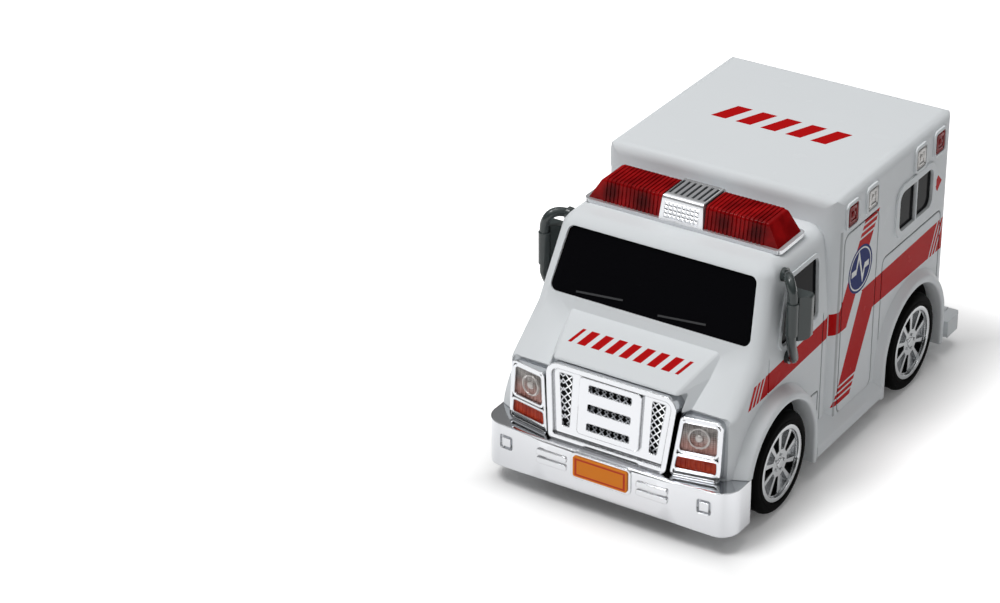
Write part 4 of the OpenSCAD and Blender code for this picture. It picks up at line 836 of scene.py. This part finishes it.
class Workshop:
    """Keeps the frame, makes each finish once and turns nodes into finished pieces."""

    def __init__(self, frame: dict) -> None:
        """Sort the nodes by body and slot.
        """
        record = frame["record"]
        self.nodes: dict[str, bpy.types.Object] = frame["nodes"]
        self.body_of = {n: b for b, names in record["behaviour"]["bodies"].items() for n in names}
        self.slot_of = {s["node"]: s["material_slot"] for s in record["subparts"]}
        self.made: dict[str, bpy.types.Material] = {}

    def material(self, finish: Finish) -> bpy.types.Material:
        """Material of a finish, made on first use."""
        self.made[finish.name] = self.made.get(finish.name) or finish.build()
        return self.made[finish.name]

    def coat(self, node: str) -> None:
        """Give a node that stays as it is the finish of its slot.

        Args:
            node: name of the node.
        """
        material = self.material(FINISHES[self.slot_of[node]])
        for slot in self.nodes[node].material_slots:
            slot.material = material
        LOG.info("coated %s", node)

    def fit(self, piece: bpy.types.Object, node: str, finish: Finish | None = None) -> None:
        """Let a piece stand for a node.

        Args:
            piece: finished piece.
            node: name of the node that it replaces.
            finish: finish, if it isn't the slot's own.
        """
        slot = self.slot_of[node]
        piece.data.materials.clear()
        piece.data.materials.append(self.material(finish or FINISHES[slot]))
        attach(piece, self.body_of[node])
        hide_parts(node)
        LOG.info("fitted %s for %s, %d faces", piece.name, node, len(piece.data.polygons))

    def skin(self, node: str, finish: Finish | None = None, angle: float = 32.0,
             detail: Callable[[bpy.types.Object], object] | None = None) -> None:
        """Replace a node by a merged copy with smooth curves and crisp edges.

        Args:
            node: name of the node.
            finish: finish, if it isn't the slot's own.
            angle: least angle, in degrees, of an edge that stays crisp.
            detail: what is modelled on the copy while it is in edit mode.
        """
        piece = bpy.data.objects.new(node + "_skin", self.nodes[node].data.copy())
        bpy.context.scene.collection.objects.link(piece)
        take(piece)
        bpy.ops.mesh.customdata_custom_splitnormals_clear()
        bpy.ops.object.mode_set(mode="EDIT")
        bpy.ops.mesh.select_all(action="SELECT")
        bpy.ops.mesh.remove_doubles(threshold=SKIN_MERGE)
        if detail:
            detail(piece)
        bpy.ops.object.mode_set(mode="OBJECT")
        bpy.ops.object.shade_smooth_by_angle(angle=math.radians(angle))
        bpy.ops.object.modifier_add(type="WEIGHTED_NORMAL")
        piece.modifiers[-1].keep_sharp = True
        bpy.ops.object.modifier_apply(modifier=piece.modifiers[-1].name)
        self.fit(piece, node, finish)


def take(piece: bpy.types.Object) -> None:
    """Make a piece the only one selected, and active.

    Args:
        piece: piece that the next operators act on.
    """
    bpy.ops.object.select_all(action="DESELECT")
    piece.select_set(True)
    bpy.context.view_layer.objects.active = piece


def pick(piece: bpy.types.Object, kind: Kind, test: Callable[[object], bool]) -> None:
    """Select the faces or edges of a piece in edit mode for which a test holds.

    Args:
        piece: piece in edit mode.
        kind: whether faces or edges are meant.
        test: what a face or edge has to meet.
    """
    bpy.ops.mesh.select_mode(type=kind.name)
    bpy.ops.mesh.select_all(action="DESELECT")
    for item in getattr(bmesh.from_edit_mesh(piece.data), kind.value):
        if test(item):
            item.select_set(True)
    bmesh.update_edit_mesh(piece.data)


class Panel:
    """A flat face of a piece in edit mode, on which detail is modelled."""

    # Least cosines between normals, greatest gaps from the face and angle of triangles that join
    ROUGHLY_ALONG = 0.97
    IN_PLANE = 0.9998
    ON_FACE = 0.999
    CORNER_GAP = 0.01 * MM
    FACE_GAP = 0.02 * MM
    JOIN_ANGLE = math.radians(0.5)

    def __init__(self, piece: bpy.types.Object, hint: Vec3) -> None:
        """Find the outermost face that looks along a direction and join its triangles.

        Args:
            piece: piece in edit mode.
            hint: direction that the face looks in, roughly.
        """
        self.piece = piece
        way = Vector(hint).normalized()
        faces = [f for f in bmesh.from_edit_mesh(piece.data).faces if f.normal.dot(way) > self.ROUGHLY_ALONG]
        self.out = max(faces, key=lambda f: f.calc_area()).normal.copy()
        flat = [f for f in faces if f.normal.dot(self.out) > self.IN_PLANE]
        self.level = max(f.calc_center_median().dot(self.out) for f in flat)
        corners = [v.co.copy() for f in flat for v in f.verts
                   if abs(v.co.dot(self.out) - self.level) < self.CORNER_GAP]
        self.right = Vector((0.0, 0.0, 1.0)).cross(self.out).normalized()
        self.up = self.out.cross(self.right)
        self.centre = self.out * self.level
        for axis in (self.right, self.up):
            reach = [c.dot(axis) for c in corners]
            self.centre += axis * (min(reach) + max(reach)) / 2
        self.choose()
        bpy.ops.mesh.dissolve_limited(angle_limit=self.JOIN_ANGLE)

    def choose(self, test: Callable[[float, float], bool] | None = None) -> None:
        """Select the parts of the face whose middle meets a test.

        Args:
            test: takes the place across and up from the centre, in millimetres.
        """
        def fits(face: bmesh.types.BMFace) -> bool:
            """Whether a part lies on the face and meets the test.

            Args:
                face: part to look at.

            Returns:
                True where it is to be selected.
            """
            middle = face.calc_center_median()
            gap = abs(middle.dot(self.out) - self.level)
            if face.normal.dot(self.out) < self.ON_FACE or gap > self.FACE_GAP:
                return False
            away = (middle - self.centre) / MM
            return test is None or test(away.dot(self.right), away.dot(self.up))

        pick(self.piece, Kind.FACE, fits)

    def cut(self, axis: Vector, count: int, pitch: float) -> None:
        """Cut the face into strips across an axis, to either side of its centre.

        Args:
            axis: direction in which the strips follow each other.
            count: how many strips.
            pitch: width of a strip in millimetres.
        """
        for i in range(count + 1):
            self.choose()
            place = (i - count / 2) * pitch
            bpy.ops.mesh.bisect(plane_co=self.centre + axis * place * MM, plane_no=axis)

    def facet(self, margin: float, rise: float, test: Callable[[float, float], bool] | None = None) -> None:
        """Raise or sink what is inside a sloped margin.

        Args:
            margin: width of the slope in millimetres.
            rise: height of the slope in millimetres, below 0 to sink.
            test: which parts of the face are meant.
        """
        self.choose(test)
        bpy.ops.mesh.inset(thickness=margin * MM)
        bpy.ops.transform.shrink_fatten(value=rise * MM)


@dataclass
class Coachwork:
    """The white shell and its rear step."""

    shop: Workshop

    def build(self) -> None:
        """Skin the shell and the step."""
        for node in ("body_shell", "rear_step"):
            self.shop.skin(node)


@dataclass
class ChromeFront:
    """Bumper, grille, net, plate and headlamps."""

    shop: Workshop
    sweep: float = 0.19
    lean: float = 0.08
    flute: float = 0.62
    flutes: int = 13
    flute_depth: float = 0.16
    flute_slope: float = 0.2
    bowl: float = 2.5
    bowl_rim: float = 0.26
    bowl_segments: tuple[int, int] = (40, 10)
    bulb: float = 1.0
    bulb_scale: Vec3 = (1.0, 1.0, 0.55)
    bulb_segments: tuple[int, int] = (28, 14)

    def lens(self, piece: bpy.types.Object, side: Side) -> Panel:
        """Sink upright flutes in the face of a lens.

        Args:
            piece: lens in edit mode.
            side: side of the toy.

        Returns:
            The lens's face.
        """
        panel = Panel(piece, (self.sweep * side.value, -1.0, self.lean))
        half = self.flutes / 2
        panel.cut(panel.right, self.flutes, self.flute)
        panel.facet(self.flute * self.flute_slope, -self.flute_depth,
                    lambda u, v: abs(u) < half * self.flute and int(u / self.flute + half) % 2 == 0)
        return panel

    def headlamp(self, piece: bpy.types.Object, side: Side) -> None:
        """Flute a headlamp's lens and set a bowl's rim and a bulb on it.

        Args:
            piece: lens in edit mode.
            side: side of the toy.
        """
        panel = self.lens(piece, side)
        turn = panel.out.to_track_quat("Z", "Y").to_euler()
        bpy.ops.mesh.primitive_torus_add(
            location=panel.centre, rotation=turn,
            major_radius=self.bowl * MM, minor_radius=self.bowl_rim * MM,
            major_segments=self.bowl_segments[0], minor_segments=self.bowl_segments[1])
        bpy.ops.mesh.primitive_uv_sphere_add(
            location=panel.centre, rotation=turn, radius=self.bulb * MM, scale=self.bulb_scale,
            segments=self.bulb_segments[0], ring_count=self.bulb_segments[1])

    def build(self) -> None:
        """Skin the plated pieces and the lamps in them."""
        self.shop.skin("front_bumper", BUMPER_PLATING)
        for node in ("grille", "headlamp_bezel_left", "headlamp_bezel_right", "number_plate"):
            self.shop.skin(node)
        self.shop.coat("grille_mesh")
        for side in Side:
            end = side.name.lower()
            self.shop.skin("headlamp_lens_" + end, HEADLAMP,
                           detail=lambda piece: self.headlamp(piece, side))
            self.shop.skin("indicator_lens_" + end, detail=lambda piece: self.lens(piece, side))


@dataclass
class Glazing:
    """Cab glazing with its wipers, the box window and the rear panes."""

    shop: Workshop

    def build(self) -> None:
        """Skin the panes."""
        self.shop.skin("cab_glazing", SCREEN)
        self.shop.skin("side_box_window")
        for side in Side:
            self.shop.skin("rear_door_window_" + side.name.lower(), REAR_GLASS)


@dataclass
class Lamps:
    """Lamp bar on the cab and the lenses round the box."""

    shop: Workshop
    slope: float = 0.16
    columns: int = 8
    rows: int = 4
    stud: Point = (1.2, 1.05)
    stud_height: float = 0.5
    jewel_margin: float = 0.95
    jewel_rise: float = 0.4
    rear: tuple[Vec3, ...] = ((0.0, 1.0, 0.0),)
    sides: tuple[Vec3, ...] = ((1.0, 0.0, 0.0), (-1.0, 0.0, 0.0))

    def studs(self, piece: bpy.types.Object) -> None:
        """Raise a field of pyramids on the front and the rear of the bar's middle.

        Args:
            piece: middle of the bar, in edit mode.
        """
        half = (self.columns / 2 * self.stud[0], self.rows / 2 * self.stud[1])
        for facing in (-1.0, 1.0):
            panel = Panel(piece, (0.0, facing, self.slope))
            panel.cut(panel.right, self.columns, self.stud[0])
            panel.cut(panel.up, self.rows, self.stud[1])
            panel.choose(lambda u, v: abs(u) < half[0] and abs(v) < half[1])
            bpy.ops.mesh.poke(offset=self.stud_height * MM)

    def jewels(self, piece: bpy.types.Object, ways: tuple[Vec3, ...]) -> None:
        """Cut lenses to a raised, sloped jewel."""
        for facing in ways:
            Panel(piece, facing).facet(self.jewel_margin, self.jewel_rise)

    def build(self) -> None:
        """Skin the bar and the jewels."""
        for node in ("light_bar_base", "light_bar_lens_left", "light_bar_lens_right"):
            self.shop.skin(node)
        self.shop.skin("light_bar_centre", detail=self.studs)
        for colour in ("red", "amber", "clear"):
            self.shop.skin("rear_%s_lenses" % colour, detail=lambda piece: self.jewels(piece, self.rear))
        for colour in ("red", "clear"):
            self.shop.skin("side_%s_lenses" % colour, detail=lambda piece: self.jewels(piece, self.sides))


@dataclass
class Mirrors:
    """Mirrors on their bent tubes."""

    shop: Workshop
    crisp: float = 40.0

    def build(self) -> None:
        """Skin both mirrors."""
        for side in Side:
            self.shop.skin("mirror_" + side.name.lower(), angle=self.crisp)


@dataclass
class Wheelset:
    """One axle with two rims and two modelled tyres."""

    shop: Workshop
    end: End
    segments: int = 96
    bore: float = 9.6
    outer_bore: float = 10.0
    shoulder: float = 1.9
    shoulder_segments: int = 6
    groove_width: float = 0.5
    groove_depth: float = 0.22
    groove_offset: float = 1.5
    ring_margin: float = 0.3
    ring_height: float = 0.12
    square: float = 0.99
    rim_share: float = 0.99
    tread_share: float = 0.985
    near: float = 0.01
    merge: float = 0.001
    crisp: float = 35.0

    def tyre(self, side: Side) -> None:
        """Model a tyre with a rounded shoulder, two tread grooves and a raised sidewall ring.

        Args:
            side: side of the toy.
        """
        name = "tyre_%s_%s" % (self.end.value, side.name.lower())
        low, high = (Vector(c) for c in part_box(name))
        centre, radius, width = (low + high) / 2, (high.z - low.z) / 2, high.x - low.x
        bpy.ops.object.select_all(action="DESELECT")
        bpy.ops.mesh.primitive_cylinder_add(vertices=self.segments, radius=radius, depth=width,
                                            location=centre, rotation=(0.0, math.pi / 2, 0.0))
        piece = bpy.context.active_object
        piece.name = name + "_rubber"
        bpy.ops.object.transform_apply(location=True, rotation=True, scale=True)
        bpy.ops.object.mode_set(mode="EDIT")
        out = side.value
        near = self.near * MM

        def reach(point: Vector) -> float:
            """Distance of a point from the axle."""
            return math.hypot(point.y - centre.y, point.z - centre.z)

        for facing, bore in ((out, self.outer_bore), (-out, self.bore)):
            pick(piece, Kind.FACE, lambda f: f.normal.x * facing > self.square and len(f.verts) > 4)
            bpy.ops.mesh.inset(thickness=radius - bore * MM)
        pick(piece, Kind.FACE, lambda f: len(f.verts) > 4)
        bpy.ops.mesh.delete(type="ONLY_FACE")
        pick(piece, Kind.EDGE, lambda e: e.is_boundary)
        bpy.ops.mesh.bridge_edge_loops()
        pick(piece, Kind.EDGE, lambda e: all(reach(v.co) > radius * self.rim_share for v in e.verts)
             and abs(e.verts[0].co.x - e.verts[1].co.x) < near)
        bpy.ops.mesh.bevel(offset=self.shoulder * MM, segments=self.shoulder_segments, profile=0.5)
        self.cut_grooves(piece, centre, radius, reach)
        face = centre.x + out * width / 2
        pick(piece, Kind.FACE, lambda f: f.normal.x * out > self.square
             and abs(f.calc_center_median().x - face) < near)
        bpy.ops.mesh.inset(thickness=self.ring_margin * MM)
        bpy.ops.mesh.extrude_region_shrink_fatten(
            TRANSFORM_OT_shrink_fatten={"value": self.ring_height * MM})
        bpy.ops.mesh.select_all(action="SELECT")
        bpy.ops.mesh.remove_doubles(threshold=self.merge * MM)
        bpy.ops.mesh.normals_make_consistent(inside=False)
        bpy.ops.object.mode_set(mode="OBJECT")
        bpy.ops.object.shade_smooth_by_angle(angle=math.radians(self.crisp))
        self.shop.fit(piece, name)

    def cut_grooves(self, piece: bpy.types.Object, centre: Vector, radius: float,
                    reach: Callable[[Vector], float]) -> None:
        """Sink two grooves round the tread.

        Args:
            piece: tyre in edit mode.
            centre: middle of the tyre.
            radius: outer radius.
            reach: distance of a point from the axle.
        """
        half = self.groove_width * MM / 2
        places = [centre.x + s * self.groove_offset * MM for s in (-1, 1)]
        for cut in (place + edge for place in places for edge in (-half, half)):
            bpy.ops.mesh.select_mode(type="FACE")
            bpy.ops.mesh.select_all(action="SELECT")
            bpy.ops.mesh.bisect(plane_co=(cut, 0.0, 0.0), plane_no=(1.0, 0.0, 0.0))
        pick(piece, Kind.FACE, lambda f: reach(f.calc_center_median()) > radius * self.tread_share
             and any(abs(f.calc_center_median().x - p) < half for p in places))
        bpy.ops.transform.shrink_fatten(value=-self.groove_depth * MM)

    def build(self) -> None:
        """Make both tyres and finish the rims and the axle."""
        for side in Side:
            self.tyre(side)
            self.shop.skin("rim_%s_%s" % (self.end.value, side.name.lower()), DIMMED_RIM_PLATING)
        self.shop.coat(self.end.value + "_axle")


@dataclass
class Underside:
    """Chassis, screws and the pull-back motor."""

    shop: Workshop

    def build(self) -> None:
        """Skin the chassis and coat what is inside."""
        self.shop.skin("chassis_base")
        for node in ("chassis_screws", "motor_screws", "motor_case_left", "motor_case_right", "axle_gear",
                     "idler_gear", "spring_barrel", "barrel_cap", "mainspring", "barrel_arbor"):
            self.shop.coat(node)


@dataclass(frozen=True)
class SoftBox:
    """A square studio lamp."""

    name: str
    place: Vec3
    size: float
    power: float

    def build(self, aim: Vector) -> None:
        """Hang the lamp and turn it to the toy.

        Args:
            aim: point that the lamp faces.
        """
        data = bpy.data.lights.new(self.name, "AREA")
        data.size = self.size
        data.energy = self.power
        lamp = bpy.data.objects.new(self.name, data)
        lamp.location = self.place
        lamp.rotation_euler = (Vector(self.place) - aim).to_track_quat("Z", "Y").to_euler()
        bpy.context.scene.collection.objects.link(lamp)


@dataclass
class Studio:
    """Pale floor with a painted shadow round the toy, white surround, soft lamps and the camera."""

    floor_size: float = 6.0
    floor_colour: Colour = (0.97, 0.97, 0.97)
    # Outline round which the floor's glow is held low, as a painted shadow, and the glow kept there.
    shadow_footprint: Point = (34.0, 62.0)
    painted_shadow_glow: float = 0.06
    edge_glow: float = 0.6
    edge: float = 14.0
    edge_soft: float = 36.0
    far_glow: float = 0.7
    far: float = 600.0
    far_soft: float = 900.0
    white: Colour = (1.0, 1.0, 1.0)
    black: Colour = (0.0, 0.0, 0.0)
    seen: tuple[str, ...] = ("Camera", "Glossy", "Transmission")
    sky: float = 0.18
    horizon: float = 0.08
    horizon_top: float = 0.6
    horizon_soft: float = 0.3
    aim: Vec3 = (0.0, 0.0, 0.035)
    lamps: tuple[SoftBox, ...] = (
        SoftBox("key", (-0.28, -0.42, 1.1), 0.4, 6.0),
        SoftBox("top", (0.0, 0.12, 1.2), 0.6, 3.7),
        SoftBox("fill", (0.95, -0.25, 0.45), 0.6, 0.12),
    )
    focal_length: float = 111.2346
    sensor: float = 36.0
    shift: Point = (-0.01394, -0.00277)
    view_depth: float = 20.0
    eye: Vec3 = (0.326485, -0.606233, 0.404612)
    turn: tuple[Vec3, Vec3, Vec3] = (
        (0.84100044, 0.54101433, -0.00466464),
        (-0.25435025, 0.40296464, 0.87916179),
        (0.47751881, -0.738189, 0.47650056),
    )

    def rays(self, graph: Graph, *kinds: str) -> Sock:
        """Mask of the rays that are of one of some kinds."""
        paths = graph.node("ShaderNodeLightPath").outputs
        return reduce(Sock.__or__, (Sock(graph, paths["Is %s Ray" % kind]) for kind in kinds))

    def surround(self) -> None:
        """White world that lights the toy softly, with a darker horizon for the plated pieces."""
        world = bpy.data.worlds.new("surround")
        bpy.context.scene.world = world
        graph = Graph(world)
        split = graph.node("ShaderNodeSeparateXYZ", None, {
            0: Sock(graph, graph.node("ShaderNodeTexCoord").outputs["Generated"])})
        low = ~Sock(graph, split.outputs[2]).over(self.horizon_top, self.horizon_soft)
        shade = low * self.rays(graph, "Glossy") * (1.0 - self.horizon)
        strength = self.rays(graph, *self.seen) * (1.0 - self.sky) + self.sky - shade
        background = graph.node("ShaderNodeBackground", None, {"Color": self.white, "Strength": strength})
        graph.node("ShaderNodeOutputWorld", None, {"Surface": Sock(graph, background.outputs[0])})

    def floor(self) -> None:
        """Pale floor that keeps the toy's shadow, with a painted shadow: its glow is low round the toy's
        footprint and rises away from it.
        """
        bpy.ops.object.select_all(action="DESELECT")
        bpy.ops.mesh.primitive_plane_add(size=self.floor_size)
        floor = bpy.context.active_object
        floor.name = "floor"
        material = bpy.data.materials.new("pale_floor")
        graph = Graph(material)
        place = Place(graph)
        # Painted shadow: the floor's glow stays low near the toy's footprint and rises past its edge,
        # darkening the floor round the toy.
        past_shadow_footprint = (abs(place.x) - self.shadow_footprint[0]) | (abs(place.y) - self.shadow_footprint[1])
        away = place.disc(place.x, place.y, (0.0, 0.0))
        share = (past_shadow_footprint.over(self.edge, self.edge_soft) * self.edge_glow
                 + away.over(self.far, self.far_soft) * self.far_glow + self.painted_shadow_glow)
        glow = graph.mix(self.rays(graph, *self.seen) * share, self.black, self.white)
        surface = graph.node("ShaderNodeBsdfPrincipled", None, {
            "Base Color": self.floor_colour, "Roughness": 1.0, "Specular IOR Level": 0.0,
            "Emission Color": glow, "Emission Strength": 1.0})
        graph.node("ShaderNodeOutputMaterial", None, {"Surface": Sock(graph, surface.outputs[0])})
        floor.data.materials.append(material)

    def camera(self) -> None:
        """Camera at the photograph's view."""
        data = bpy.data.cameras.new("camera")
        data.lens = self.focal_length
        data.sensor_width = self.sensor
        data.shift_x, data.shift_y = self.shift
        data.clip_end = self.view_depth
        camera = bpy.data.objects.new("camera", data)
        camera.matrix_world = Matrix.Translation(self.eye) @ Matrix(self.turn).transposed().to_4x4()
        bpy.context.scene.collection.objects.link(camera)
        bpy.context.scene.camera = camera

    def build(self) -> None:
        """Set up the studio."""
        bpy.context.scene.view_settings.view_transform = "Standard"
        self.surround()
        self.floor()
        self.camera()
        for lamp in self.lamps:
            lamp.build(Vector(self.aim))


def main() -> None:
    """Build the studio and the toy's pieces in order."""
    logging.basicConfig(level=logging.INFO, format="%(name)s: %(message)s")
    bpy.ops.object.select_all(action="SELECT")
    bpy.ops.object.delete()
    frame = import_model()
    Studio().build()
    shop = Workshop(frame)
    for assembly in (Coachwork(shop), ChromeFront(shop), Glazing(shop), Lamps(shop), Mirrors(shop),
                     Wheelset(shop, End.FRONT), Wheelset(shop, End.REAR), Underside(shop)):
        assembly.build()
        LOG.info("built %s", type(assembly).__name__)


if __name__ == "__main__":
    main()
